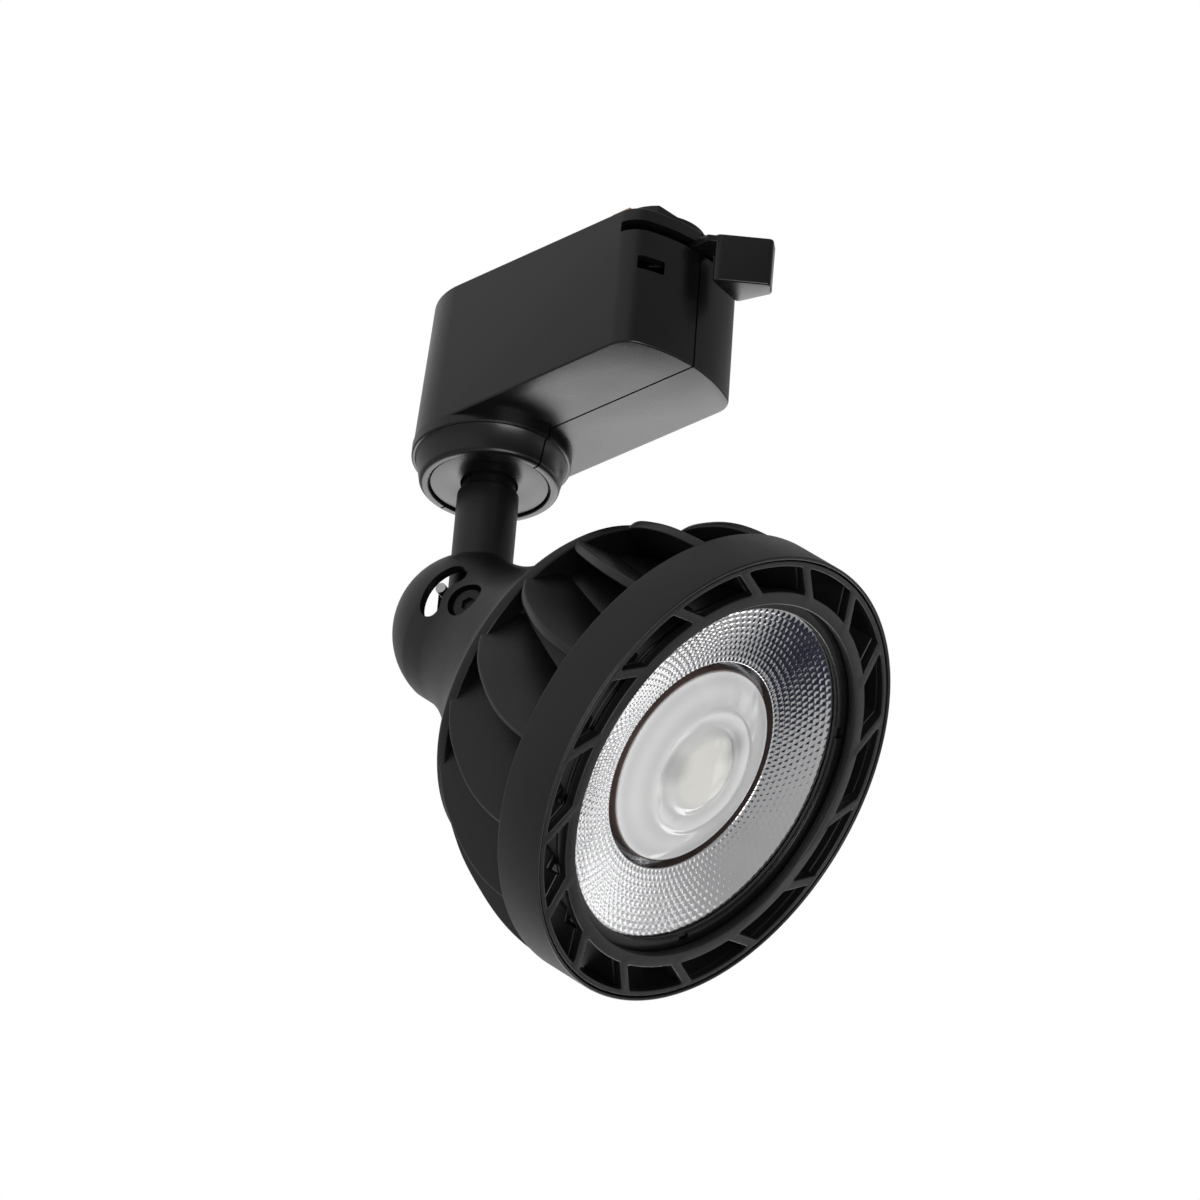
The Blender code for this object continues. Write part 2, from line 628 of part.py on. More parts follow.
def driver():
    """The small constant-current supply in the adapter."""
    top = BOARD_Z + BOARD_THICKNESS / 2.0
    board = box("driver_board", (BOARD_X, 0.0, BOARD_Z),
                (BOARD_LENGTH, BOARD_WIDTH, BOARD_THICKNESS), material=BOARD)
    notch = rod("cut_board_notch", (52.0 * MM, 0.0, BOARD_Z), 4.2 * MM, 40.0 * MM, axis="Y",
                sides=16, cutter=True)
    cut(board, notch)
    box("driver_transformer", (24.0 * MM, -4.5 * MM, top + GAP + 6.0 * MM),
        (13.0 * MM, 13.0 * MM, 12.0 * MM), material=DARK_CORE)
    rod("driver_capacitor", (36.5 * MM, -6.0 * MM, top + GAP + 4.2 * MM), 4.0 * MM,
        9.0 * MM, axis="Z", sides=20, material=CAPACITOR_SLEEVE,
        place=Matrix.Translation((0.0, 0.0, 0.5 * MM)))
    box("driver_film_capacitor", (36.0 * MM, 7.0 * MM, top + GAP + 3.5 * MM),
        (12.0 * MM, 5.0 * MM, 7.0 * MM), material=CAPACITOR_YELLOW)
    box("driver_bridge", (24.0 * MM, 8.5 * MM, top + GAP + 1.3 * MM),
        (6.5 * MM, 5.0 * MM, 2.6 * MM), material=DARK_CORE)
    wire("feed_wire_live", ((40.0 * MM, -3.0 * MM, -11.0 * MM), (36.0 * MM, 1.6 * MM, -14.0 * MM),
                            (33.0 * MM, 2.0 * MM, -19.0 * MM), (33.0 * MM, 2.0 * MM, -24.0 * MM)),
         WIRE_RADIUS, WIRE_RED)
    wire("feed_wire_neutral", ((41.0 * MM, 3.5 * MM, -11.0 * MM), (45.0 * MM, 5.5 * MM, -15.0 * MM),
                               (46.5 * MM, 6.0 * MM, -20.0 * MM), (46.0 * MM, 6.0 * MM, -24.0 * MM)),
         WIRE_RADIUS, WIRE_BLACK)
    for number, side in ((1, -1.0), (2, 1.0)):
        wire("output_wire_%d" % number,
             ((12.0 * MM, side * 3.0 * MM, -24.0 * MM), (10.0 * MM, side * 3.0 * MM, -19.0 * MM),
              (4.0 * MM, side * 2.4 * MM, -17.0 * MM), (0.4 * MM, side * 1.5 * MM, -21.0 * MM),
              (0.0, side * 1.5 * MM, NECK_TOP_Z + 1.2 * MM)),
             WIRE_RADIUS, WIRE_RED if side < 0 else WIRE_BLACK)


# ---- stem ------------------------------------------------------------------------------

def stem(frame):
    turned("stem", [
        (NECK_RADIUS, NECK_TOP_Z), (NECK_RADIUS, SHOULDER_Z),
        (STEM_RADIUS - SHOULDER_CHAMFER / 2.0, SHOULDER_Z),
        (STEM_RADIUS, SHOULDER_Z - SHOULDER_CHAMFER), (STEM_RADIUS, STEM_BOTTOM_Z),
        (STEM_BORE, STEM_BOTTOM_Z), (STEM_BORE, NECK_TOP_Z)], sides=32,
        material=BLACK_PAINT, parent=frame)
    floor = boss_floor_top()
    washer_bottom = floor + GAP
    washer = turned("pan_stop_washer",
                    ring_profile(WASHER_RADIUS, NECK_RADIUS + GAP,
                                 washer_bottom + WASHER_THICKNESS, washer_bottom),
                    sides=32, material=STEEL, parent=frame)
    tab = box("guide_stop_tab",
              ((WASHER_RADIUS + STOP_TAB_REACH) / 2.0 - 0.8 * MM, 0.0,
               washer_bottom + WASHER_THICKNESS / 2.0),
              (STOP_TAB_REACH - WASHER_RADIUS + 1.6 * MM, STOP_TAB_WIDTH, WASHER_THICKNESS),
              parent=frame, cutter=True)
    unite(washer, tab)
    nut_bottom = washer_bottom + WASHER_THICKNESS + GAP
    nut = turned("pan_nut", disc_profile(NUT_RADIUS, nut_bottom + NUT_HEIGHT, nut_bottom),
                 sides=6, material=STEEL, parent=frame)
    bore = rod("cut_nut_bore", (0.0, 0.0, nut_bottom), NECK_RADIUS + GAP, 4.0 * NUT_HEIGHT,
               sides=32, parent=frame, cutter=True)
    cut(nut, bore)
    for number, side in ((1, -1.0), (2, 1.0)):
        wire("stem_wire_%d" % number,
             ((0.0, side * 1.5 * MM, NECK_TOP_Z + 0.6 * MM - 1.2 * MM),
              (0.3 * MM, side * 1.4 * MM, -45.0 * MM),
              (0.0, side * 1.5 * MM, STEM_BOTTOM_Z + 0.6 * MM)),
             WIRE_RADIUS, WIRE_RED if side < 0 else WIRE_BLACK, parent=frame)
    knuckle(frame)


def knuckle(frame):
    """The block under the stem that carries the tilt pivot and the stop pin."""
    forward, height = pivot_in_pan()
    top = STEM_BOTTOM_Z - GAP
    half = STEM_RADIUS - 0.3 * MM
    lug_top = math.radians(35.0)
    outline = [(-half, top), (half, top)]
    outline += arc((forward, height), KNUCKLE_LUG, lug_top, math.radians(-130.0), 12)
    outline += [(-half, height + 2.0 * MM)]
    body = prism("tilt_knuckle", outline, -KNUCKLE_HALF_WIDTH, KNUCKLE_HALF_WIDTH, axis="Y",
                 material=BLACK_PAINT, parent=frame)
    smooth(body.data)
    pivot_bore = rod("cut_pivot_bore", (forward, 0.0, height), PIVOT_RADIUS + GAP,
                     30.0 * MM, axis="Y", parent=frame, cutter=True)
    pin_x, pin_z = stop_pin_in_pan()
    pin_bore = rod("cut_pin_bore", (pin_x, 0.0, pin_z), STOP_PIN_RADIUS + GAP, 30.0 * MM,
                   axis="Y", sides=12, parent=frame, cutter=True)
    wire_groove = box("cut_wire_groove", (-half, 0.0, (top + height) / 2.0),
                      (4.4 * MM, 5.0 * MM, 30.0 * MM), parent=frame, cutter=True)
    cut(body, pivot_bore, pin_bore, wire_groove)
    rod("tilt_stop_pin", (pin_x, (STOP_PIN_TAIL - STOP_PIN_REACH) / 2.0, pin_z),
        STOP_PIN_RADIUS, STOP_PIN_REACH + STOP_PIN_TAIL, axis="Y", sides=12,
        material=STEEL, parent=frame)


def pivot_in_pan():
    """The pivot in the pan frame: forward distance and height."""
    forward = PIVOT_FORWARD * math.cos(TILT) + PIVOT_ABOVE * math.sin(TILT)
    height = HEAD_REFERENCE_Z - PIVOT_FORWARD * math.sin(TILT) + PIVOT_ABOVE * math.cos(TILT)
    return forward, height


def stop_pin_in_pan():
    """The stop pin sits straight behind the pivot, along the light axis at rest."""
    forward, height = pivot_in_pan()
    return forward - KIDNEY_RADIUS * math.cos(TILT), height + KIDNEY_RADIUS * math.sin(TILT)


# ---- head ------------------------------------------------------------------------------

def lens_point(along, up, side=0.0):
    """Head-frame coordinates of a point given along the light axis, up the lens, across."""
    return Vector((-up, side, along))


def flare():
    """The tail's outer profile from its waist to the rear disc, as (radius, along)."""
    steps = 8
    points = []
    for step in range(1, steps + 1):
        t = step / steps
        along = (DISC_A - 1.5 * MM) * t
        radius = TAIL_WAIST + (DISC_RADIUS - 0.9 * MM - TAIL_WAIST) * t ** 1.75
        points.append((radius, along))
    return points


def tail_outer():
    dome = [(TAIL_RADIUS * math.sin(math.radians(a)), -TAIL_RADIUS * math.cos(math.radians(a)))
            for a in range(0, 80, 13)]
    return dome + flare()


def core_bore(along):
    """Inner radius of the conical core at a place along the light axis."""
    share = (along - PLATFORM_FRONT) / (CORE_FRONT_A - PLATFORM_FRONT)
    return CORE_REAR_RADIUS + (CORE_FRONT_RADIUS - CORE_REAR_RADIUS) * share - CORE_WALL


def fin_rim():
    """The fins' outer edge as (along, radius): a dome from the rear disc to the band."""
    middle = BAND_RADIUS - BAND_WALL / 2.0
    return [(DISC_A + 0.5 * MM, DISC_RADIUS - 0.3 * MM), (37.0 * MM, 42.2 * MM),
            (43.5 * MM, 45.5 * MM), (49.0 * MM, 47.6 * MM), (54.0 * MM, 49.1 * MM),
            (BAND_REAR_A + 0.5 * MM, middle), (GRILLE_BACK_A - GAP, middle)]


def fins(frame):
    """Sixteen flat fins, each leaning so that its plane passes beside the light axis."""
    half_wall = CORE_WALL / 2.0
    step = CORE_FRONT_A - half_wall
    beside_ring = RING_OUTER + GAP + FIN_THICKNESS / 2.0
    outline = fin_rim() + [(GRILLE_BACK_A - GAP, beside_ring), (step, beside_ring),
                           (step, CORE_FRONT_RADIUS - half_wall),
                           (PLATFORM_BACK, CORE_REAR_RADIUS - half_wall),
                           (DISC_A + half_wall, CORE_REAR_RADIUS - half_wall)]

    def build(shape):
        for number in range(FIN_COUNT):
            angle = FIN_TURN + 2.0 * math.pi * number / FIN_COUNT
            out = lens_point(0.0, math.cos(angle), math.sin(angle))
            across = lens_point(0.0, -math.sin(angle), math.cos(angle))
            ends = []
            for offset in (-FIN_THICKNESS / 2.0, FIN_THICKNESS / 2.0):
                ring = []
                for along, radius in outline:
                    reach = math.sqrt(radius ** 2 - FIN_OFFSET ** 2)
                    point = out * reach + across * (FIN_OFFSET + offset)
                    ring.append(shape.verts.new(point + lens_point(along, 0.0)))
                ends.append(ring)
            shape.faces.new(ends[0])
            shape.faces.new(list(reversed(ends[1])))
            for index, vertex in enumerate(ends[0]):
                following = (index + 1) % len(outline)
                shape.faces.new((ends[0][following], vertex, ends[1][index],
                                 ends[1][following]))

    return add_object("guide_fins", mesh_from(build, "guide_fins"), parent=frame, cutter=True)


def tail_slot(frame):
    """The opening that the stem swings through between the two ends of the tilt travel."""
    half = STEM_RADIUS + SLOT_SIDE_GAP
    reach = 1.7 * TAIL_RADIUS
    pivot = Vector((-PIVOT_ABOVE, PIVOT_FORWARD))
    stem_aside = pivot_in_pan()[0]

    def edge(turn, offset, distance):
        """A point beside the stem's axis when that axis points this way."""
        along = Vector((math.cos(turn), math.sin(turn)))
        across = Vector((-along.y, along.x))
        return tuple(pivot + across * offset + along * distance)

    upright = math.pi + TILT
    first = upright - TILT_UP - SLOT_SPARE
    last = upright + TILT_DOWN + SLOT_SPARE
    points = [edge(first, stem_aside - half, 0.0), edge(first, stem_aside - half, reach)]
    for step in range(1, 5):
        turn = first + (last - first) * step / 5.0
        points.append(edge(turn, stem_aside, 1.4 * reach))
    points += [edge(last, stem_aside + half, reach), edge(last, stem_aside + half, 0.0)]
    return prism("cut_tail_slot", points, -half, half, axis="Y", parent=frame, cutter=True)


def kidney_outline():
    pivot = (-PIVOT_ABOVE, PIVOT_FORWARD)
    spare = math.asin(KIDNEY_WIDTH / 2.0 / KIDNEY_RADIUS) - math.asin(
        (STOP_PIN_RADIUS + 0.3 * MM) / KIDNEY_RADIUS)
    start = math.radians(270.0) - TILT_UP + spare
    end = math.radians(270.0) + TILT_DOWN - spare
    outer = arc(pivot, KIDNEY_RADIUS + KIDNEY_WIDTH / 2.0, start, end, 6)
    inner = arc(pivot, KIDNEY_RADIUS - KIDNEY_WIDTH / 2.0, end, start, 6)
    end_centre = arc(pivot, KIDNEY_RADIUS, end, end, 1)[0]
    start_centre = arc(pivot, KIDNEY_RADIUS, start, start, 1)[0]
    end_cap = arc(end_centre, KIDNEY_WIDTH / 2.0, end, end + math.pi, 5)[1:-1]
    start_cap = arc(start_centre, KIDNEY_WIDTH / 2.0, start + math.pi, start + 2 * math.pi,
                    5)[1:-1]
    return outer + end_cap + inner + start_cap


def heat_sink(frame):
    """The cast body: hollow tail, rear disc, core, slanted fins and front band."""
    disc_front = DISC_A + DISC_THICKNESS
    outer = tail_outer() + [(DISC_RADIUS, DISC_A - 0.5 * MM), (DISC_RADIUS, disc_front),
                            (CORE_REAR_RADIUS, disc_front),
                            (CORE_REAR_RADIUS, PLATFORM_BACK),
                            (CORE_FRONT_RADIUS, CORE_FRONT_A),
                            (CORE_FRONT_RADIUS - CORE_WALL, CORE_FRONT_A),
                            (CORE_REAR_RADIUS - CORE_WALL, PLATFORM_FRONT),
                            (0.0, PLATFORM_FRONT)]
    body = turned("heat_sink", list(reversed(outer)), sides=ROUND, material=BLACK_PAINT,
                  parent=frame)
    unite(body, fins(frame), front_band(frame))
    hollow_profile = [(max(r - TAIL_WALL, 0.0), a) for r, a in tail_outer()[1:-1]]
    hollow_profile = [(0.0, TAIL_WALL - TAIL_RADIUS)] + hollow_profile
    hollow_profile += [(CORE_REAR_RADIUS - CORE_WALL - 1.0 * MM, PLATFORM_BACK - 1.0 * MM),
                       (0.0, PLATFORM_BACK)]
    hollow = turned("cut_tail_hollow", list(reversed(hollow_profile)), sides=ROUND,
                    parent=frame, cutter=True)
    cut(body, hollow)
    pivot = lens_point(PIVOT_FORWARD, PIVOT_ABOVE)
    for side in (-1.0, 1.0):
        length = TAIL_WAIST - 1.5 * MM - CHEEK_INNER
        middle = pivot + Vector((0.0, side * (CHEEK_INNER + length / 2.0), 0.0))
        boss = rod("guide_cheek_boss_%d" % side, middle, CHEEK_BOSS_RADIUS, length, axis="Y",
                   parent=frame, cutter=True)
        unite(body, boss)
        recess = rod("cut_recess_%d" % side,
                     pivot + Vector((0.0, side * (PIVOT_SEAT + 5.0 * MM), 0.0)),
                     RECESS_RADIUS, 10.0 * MM, axis="Y", parent=frame, cutter=True)
        cut(body, recess)
    bore = rod("cut_pivot_hole", pivot, PIVOT_RADIUS + GAP, 60.0 * MM, axis="Y",
               parent=frame, cutter=True)
    kidney = prism("cut_kidney", kidney_outline(), 0.0, 30.0 * MM, axis="Y",
                   parent=frame, cutter=True)
    wire_hole = rod("cut_wire_hole", lens_point(PLATFORM_FRONT, -10.0 * MM), 3.2 * MM,
                    20.0 * MM, parent=frame, cutter=True)
    cut(body, bore, kidney, tail_slot(frame), wire_hole)
    return body


def front_band(frame):
    outer = BAND_RADIUS
    lip_bore = outer - BAND_LIP
    return turned("guide_band", [
        (outer - 0.25 * MM, BAND_FRONT_A), (outer, BAND_FRONT_A - 0.5 * MM),
        (outer - 0.1 * MM, BAND_REAR_A + 0.5 * MM), (outer - 0.6 * MM, BAND_REAR_A),
        (outer - BAND_WALL, BAND_REAR_A), (outer - BAND_WALL, GRILLE_BACK_A - GAP),
        (lip_bore, GRILLE_BACK_A - GAP), (lip_bore, BAND_FRONT_A)], sides=2 * ROUND,
        parent=frame, cutter=True)


def front_grille(frame):
    """The slotted front ring; its spokes line up with the fins behind it."""
    back = GRILLE_BACK_A
    rim = BAND_RADIUS - BAND_LIP - GAP
    face = back + GRILLE_THICKNESS
    grille = turned("front_grille", [
        (rim - 0.3 * MM, face - GRILLE_CROWN), (rim, face - GRILLE_CROWN - 0.3 * MM),
        (rim, back), (GRILLE_BORE, back), (GRILLE_BORE, face - 0.3 * MM),
        (GRILLE_BORE + 0.3 * MM, face)], sides=2 * ROUND, material=BLACK_PAINT, parent=frame)

    def plane_point(number, radius, offset):
        angle = FIN_TURN + 2.0 * math.pi * number / FIN_COUNT
        aside = FIN_OFFSET + offset
        reach = math.sqrt(radius ** 2 - aside ** 2)
        up = reach * math.cos(angle) - aside * math.sin(angle)
        side = reach * math.sin(angle) + aside * math.cos(angle)
        return -up, side

    def bend(number, radius, steps=4):
        first = plane_point(number, radius, FIN_THICKNESS / 2.0)
        last = plane_point(number + 1, radius, -FIN_THICKNESS / 2.0)
        start = math.atan2(first[1], first[0])
        end = math.atan2(last[1], last[0])
        sweep = (end - start + math.pi) % (2.0 * math.pi) - math.pi
        return arc((0.0, 0.0), radius, start, start + sweep, steps)

    def build(shape):
        for number in range(FIN_COUNT):
            outline = bend(number, SLOT_OUTER) + list(reversed(bend(number, SLOT_INNER)))
            base = [shape.verts.new((x, y, back - 2.0 * MM)) for x, y in outline]
            floor = shape.faces.new(base)
            grown = bmesh.ops.extrude_face_region(shape, geom=[floor])
            tops = [v for v in grown["geom"] if isinstance(v, bmesh.types.BMVert)]
            bmesh.ops.translate(shape, verts=tops, vec=(0.0, 0.0, 8.0 * MM))

    slots = add_object("cut_slots", mesh_from(build, "cut_slots"), parent=frame, cutter=True)
    cut(grille, slots)
    return grille


def pivot_hardware(frame):
    """The tilt screw, its nut and the washers beside the knuckle."""
    pivot = lens_point(PIVOT_FORWARD, PIVOT_ABOVE)

    def across(distance):
        return pivot + Vector((0.0, distance, 0.0))

    seat = PIVOT_SEAT + GAP
    head = rod("pivot_screw", across(-(seat + PIVOT_HEAD_HEIGHT / 2.0)), PIVOT_HEAD_RADIUS,
               PIVOT_HEAD_HEIGHT, axis="Y", material=BLACK_STEEL, parent=frame)
    shank_end = PIVOT_SEAT + 2.6 * MM
    shank = rod("guide_pivot_shank", across((shank_end - seat) / 2.0 - 0.2 * MM), PIVOT_RADIUS,
                shank_end + seat, axis="Y", parent=frame, cutter=True)
    socket = rod("cut_pivot_socket", across(-(seat + PIVOT_HEAD_HEIGHT)), 1.5 * MM, 1.4 * MM,
                 axis="Y", sides=6, parent=frame, cutter=True)
    unite(head, shank)
    cut(head, socket)
    nut = rod("pivot_nut", across(seat + 1.1 * MM), 3.7 * MM, 2.2 * MM, axis="Y", sides=6,
              material=BLACK_STEEL, parent=frame)
    bore = rod("cut_pivot_nut_bore", across(seat), PIVOT_RADIUS + GAP, 8.0 * MM, axis="Y",
               parent=frame, cutter=True)
    cut(nut, bore)


# ---- optics ----------------------------------------------------------------------------

def reflector_profile(rim):
    """The bowl's inner side as (radius, along), from its foot to its flange."""
    cone_steps = 4
    points = []
    for step in range(cone_steps + 1):
        t = step / cone_steps
        points.append((REFLECTOR_FOOT + (WELL_RADIUS - REFLECTOR_FOOT) * t,
                       REFLECTOR_FOOT_A + (WELL_FLOOR_A - REFLECTOR_FOOT_A) * t ** 1.2))
    flare_steps = 5
    for step in range(flare_steps + 1):
        t = step / flare_steps
        points.append((WELL_RADIUS + (rim - FLANGE_WIDTH - WELL_RADIUS) * t,
                       WELL_RIM_A + (FLARE_RIM_A - WELL_RIM_A) * t ** 1.25))
    return points


def optics(frame):
    """Reflector, centre lens, and the gasket and ring that hold them at the front."""
    rim = core_bore(FLARE_RIM_A - REFLECTOR_WALL) - GAP
    inner = reflector_profile(rim)
    outer = []
    for radius, along in inner[1:-1]:
        outer.append((radius + REFLECTOR_WALL * 0.8, along - REFLECTOR_WALL))
    outer.append((rim, FLARE_RIM_A - REFLECTOR_WALL))
    foot = (REFLECTOR_FOOT + REFLECTOR_WALL * 1.2, REFLECTOR_FOOT_A)
    profile = [(rim, FLARE_RIM_A)] + list(reversed(outer)) + [foot] + inner
    turned("reflector", profile, sides=ROUND, material=CHROME, parent=frame)
    centre_lens(frame)
    gasket_low = FLARE_RIM_A + GAP
    gasket_high = gasket_low + GASKET_THICKNESS
    turned("lens_gasket", ring_profile(rim, rim - FLANGE_WIDTH + GAP, gasket_high, gasket_low),
           sides=ROUND, material=RUBBER, parent=frame)
    ring_top = GRILLE_BACK_A - GAP
    ring_low = CORE_FRONT_A + GAP
    lip_low = gasket_high + GAP
    skirt_bore = rim + GAP
    turned("retaining_ring", [
        (RING_OUTER, ring_top), (RING_OUTER, ring_low), (skirt_bore, ring_low),
        (skirt_bore, lip_low), (RING_BORE, lip_low), (RING_BORE, ring_top)], sides=ROUND,
        material=BLACK_PAINT, parent=frame)


def centre_lens(frame):
    """The collimating lens over the light source: a cone, a straight edge and a domed face."""
    foot_a = REFLECTOR_FOOT_A + GAP
    dome = [(LENS_RADIUS * t / 6.0, LENS_EDGE_A + LENS_CROWN * (1 - (t / 6.0) ** 2))
            for t in range(6)]
    profile = dome + [(LENS_RADIUS, LENS_EDGE_A), (LENS_RADIUS, LENS_SHOULDER_A),
                      (LENS_FOOT, foot_a), (0.0, foot_a)]
    turned("centre_lens", profile, sides=ROUND, material=FROSTED, parent=frame)


def light_source(frame):
    """The light source on its platform, with pad, board, holder, screws and wires."""
    pad_low = PLATFORM_FRONT + GAP
    pad_high = pad_low + 0.5 * MM
    box("thermal_pad", lens_point((pad_low + pad_high) / 2.0, 0.0),
        (PAD_SIDE, PAD_SIDE, pad_high - pad_low), material=PAD, parent=frame)
    board_low = pad_high + GAP
    board_high = board_low + 1.5 * MM
    box("cob_board", lens_point((board_low + board_high) / 2.0, 0.0),
        (BOARD_SIDE, BOARD_SIDE, board_high - board_low), material=CERAMIC, parent=frame)
    rod("cob_emitter", lens_point(board_high + GAP + 0.4 * MM, 0.0), EMITTER_RADIUS,
        0.8 * MM, sides=32, material=PHOSPHOR, parent=frame)
    holder_low = board_high + GAP
    holder_high = REFLECTOR_FOOT_A - GAP
    ledge = holder_low + 1.6 * MM
    collar = REFLECTOR_FOOT - GAP
    holder = turned("cob_holder", [
        (collar, holder_high), (collar, ledge), (HOLDER_RADIUS, ledge),
        (HOLDER_RADIUS, holder_low), (EMITTER_RADIUS + 0.8 * MM, holder_low),
        (EMITTER_RADIUS + 0.8 * MM, holder_low + 0.6 * MM),
        (LENS_FOOT + 0.2 * MM, holder_high)],
        sides=32, material=WHITE_PLASTIC, parent=frame)
    for number, side in ((1, -1.0), (2, 1.0)):
        spot = lens_point(0.0, 0.0, side * HOLDER_SCREW_ASIDE)
        hole = rod("cut_holder_hole_%d" % number, spot + lens_point(holder_high, 0.0),
                   HOLDER_SCREW_RADIUS + GAP, 20.0 * MM, sides=12, parent=frame,
                   cutter=True)
        cut(holder, hole)
        low = PLATFORM_FRONT + GAP
        head = rod("holder_screw_%d" % number,
                   spot + lens_point(ledge + GAP + HOLDER_HEAD_HEIGHT / 2.0, 0.0),
                   HOLDER_HEAD_RADIUS, HOLDER_HEAD_HEIGHT, sides=12, material=STEEL,
                   parent=frame)
        shank = rod("guide_holder_shank_%d" % number,
                    spot + lens_point((low + ledge + 0.9 * MM) / 2.0, 0.0), HOLDER_SCREW_RADIUS,
                    ledge + 0.9 * MM - low, sides=12, parent=frame, cutter=True)
        unite(head, shank)
    for number, side in ((1, -1.0), (2, 1.0)):
        wire("head_wire_%d" % number,
             (lens_point(2.0 * MM, -13.2 * MM, side * 1.3 * MM),
              lens_point(12.0 * MM, -13.2 * MM, side * 1.3 * MM),
              lens_point(24.0 * MM, -11.0 * MM, side * 1.3 * MM),
              lens_point(33.0 * MM, -10.0 * MM, side * 1.2 * MM),
              lens_point(PLATFORM_FRONT - 0.6 * MM, -10.0 * MM, side * 1.2 * MM)),
             WIRE_RADIUS, WIRE_RED if side < 0 else WIRE_BLACK, parent=frame)


# ---- build -----------------------------------------------------------------------------

clear_scene()
PARTS = make_collection("track_spotlight")
CUTTERS = make_collection("track_spotlight_cutters")

BLACK_PLASTIC = make_material("satin black plastic", (0.020, 0.020, 0.022), 0.38)
BLACK_PAINT = make_material("black powder coat", (0.018, 0.018, 0.020), 0.45)
BLACK_STEEL = make_material("blackened steel", (0.05, 0.05, 0.05), 0.35, metallic=1.0)
STEEL = make_material("zinc plated steel", (0.55, 0.55, 0.55), 0.35, metallic=1.0)
COPPER = make_material("contact copper", (0.72, 0.38, 0.22), 0.30, metallic=1.0)
CHROME = make_material("vacuum metallised", (0.90, 0.90, 0.92), 0.08, metallic=1.0)
FROSTED = make_material("frosted lens", (0.93, 0.93, 0.92), 0.35, transmission=0.6)
RUBBER = make_material("silicone rubber", (0.03, 0.03, 0.03), 0.7)
WHITE_PLASTIC = make_material("white heat resistant plastic", (0.85, 0.85, 0.83), 0.45)
CERAMIC = make_material("ceramic", (0.88, 0.88, 0.86), 0.5)
PHOSPHOR = make_material("phosphor", (0.95, 0.78, 0.25), 0.5)
PAD = make_material("thermal pad", (0.55, 0.60, 0.70), 0.8)
BOARD = make_material("circuit board", (0.04, 0.22, 0.10), 0.5)
DARK_CORE = make_material("dark moulding", (0.04, 0.04, 0.04), 0.5)
CAPACITOR_SLEEVE = make_material("capacitor sleeve", (0.03, 0.05, 0.15), 0.4)
CAPACITOR_YELLOW = make_material("film capacitor", (0.75, 0.55, 0.10), 0.4)
WIRE_RED = make_material("red insulation", (0.50, 0.04, 0.03), 0.45)
WIRE_BLACK = make_material("black insulation", (0.02, 0.02, 0.02), 0.45)

LOCK_AXIS = add_frame("lock_axis", None, Matrix.Translation((LOCK_X, 0.0, 0.0)))
PAN_AXIS = add_frame("pan_axis", None, Matrix.Rotation(PAN, 4, "Z"))
PIVOT_X, PIVOT_Z = pivot_in_pan()
TILT_AXIS = add_frame("tilt_axis", PAN_AXIS, Matrix.Translation((PIVOT_X, 0.0, PIVOT_Z)))
LIGHT_AXIS = add_frame(
    "light_axis", TILT_AXIS,
    Matrix.Rotation(math.pi / 2.0 + TILT, 4, "Y")
    @ Matrix.Translation(-lens_point(PIVOT_FORWARD, PIVOT_ABOVE)))

adapter()
driver()
lock(LOCK_AXIS)
stem(PAN_AXIS)
heat_sink(LIGHT_AXIS)
front_grille(LIGHT_AXIS)
pivot_hardware(LIGHT_AXIS)
optics(LIGHT_AXIS)
light_source(LIGHT_AXIS)
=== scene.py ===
"""Looks for the track spotlight: fine surfaces, finishes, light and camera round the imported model."""
import json
import math

import bmesh
import bpy
from mathutils import Matrix, Vector

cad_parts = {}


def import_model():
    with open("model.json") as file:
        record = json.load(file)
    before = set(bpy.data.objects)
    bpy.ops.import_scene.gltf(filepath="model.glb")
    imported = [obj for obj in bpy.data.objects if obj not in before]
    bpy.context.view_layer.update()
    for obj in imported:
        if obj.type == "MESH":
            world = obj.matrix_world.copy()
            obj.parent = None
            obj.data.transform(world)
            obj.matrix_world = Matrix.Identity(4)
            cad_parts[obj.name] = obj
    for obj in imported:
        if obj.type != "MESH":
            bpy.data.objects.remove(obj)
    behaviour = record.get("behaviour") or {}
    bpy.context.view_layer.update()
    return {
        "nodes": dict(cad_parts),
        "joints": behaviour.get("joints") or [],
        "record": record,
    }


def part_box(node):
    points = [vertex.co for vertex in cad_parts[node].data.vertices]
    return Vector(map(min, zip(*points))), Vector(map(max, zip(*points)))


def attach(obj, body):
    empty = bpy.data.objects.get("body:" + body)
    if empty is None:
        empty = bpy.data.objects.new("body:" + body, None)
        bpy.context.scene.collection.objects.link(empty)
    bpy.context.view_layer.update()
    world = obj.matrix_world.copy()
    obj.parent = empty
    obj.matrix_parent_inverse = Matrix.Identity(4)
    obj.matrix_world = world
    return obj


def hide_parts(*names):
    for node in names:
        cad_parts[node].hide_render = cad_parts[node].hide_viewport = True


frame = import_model()
MM = 0.001

# ---- places read from the frame --------------------------------------------------------
JOINTS = {joint["name"]: joint for joint in frame["joints"]}
SIDEWAYS = Vector(JOINTS["tilt"]["axis"]).normalized()
LOCK_X = JOINTS["lock_turn"]["pos_m"][0] / MM


def middle(node):
    low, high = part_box(node)
    return (low + high) / 2.0


LIGHT = (middle("retaining_ring") - middle("cob_emitter")).normalized()
UP_THE_LENS = LIGHT.cross(SIDEWAYS).normalized()

# ---- sizes, in millimetres -------------------------------------------------------------
RING_MIDDLE_A = 70.9                # the retaining ring's middle, along the light axis
GAP = 0.3

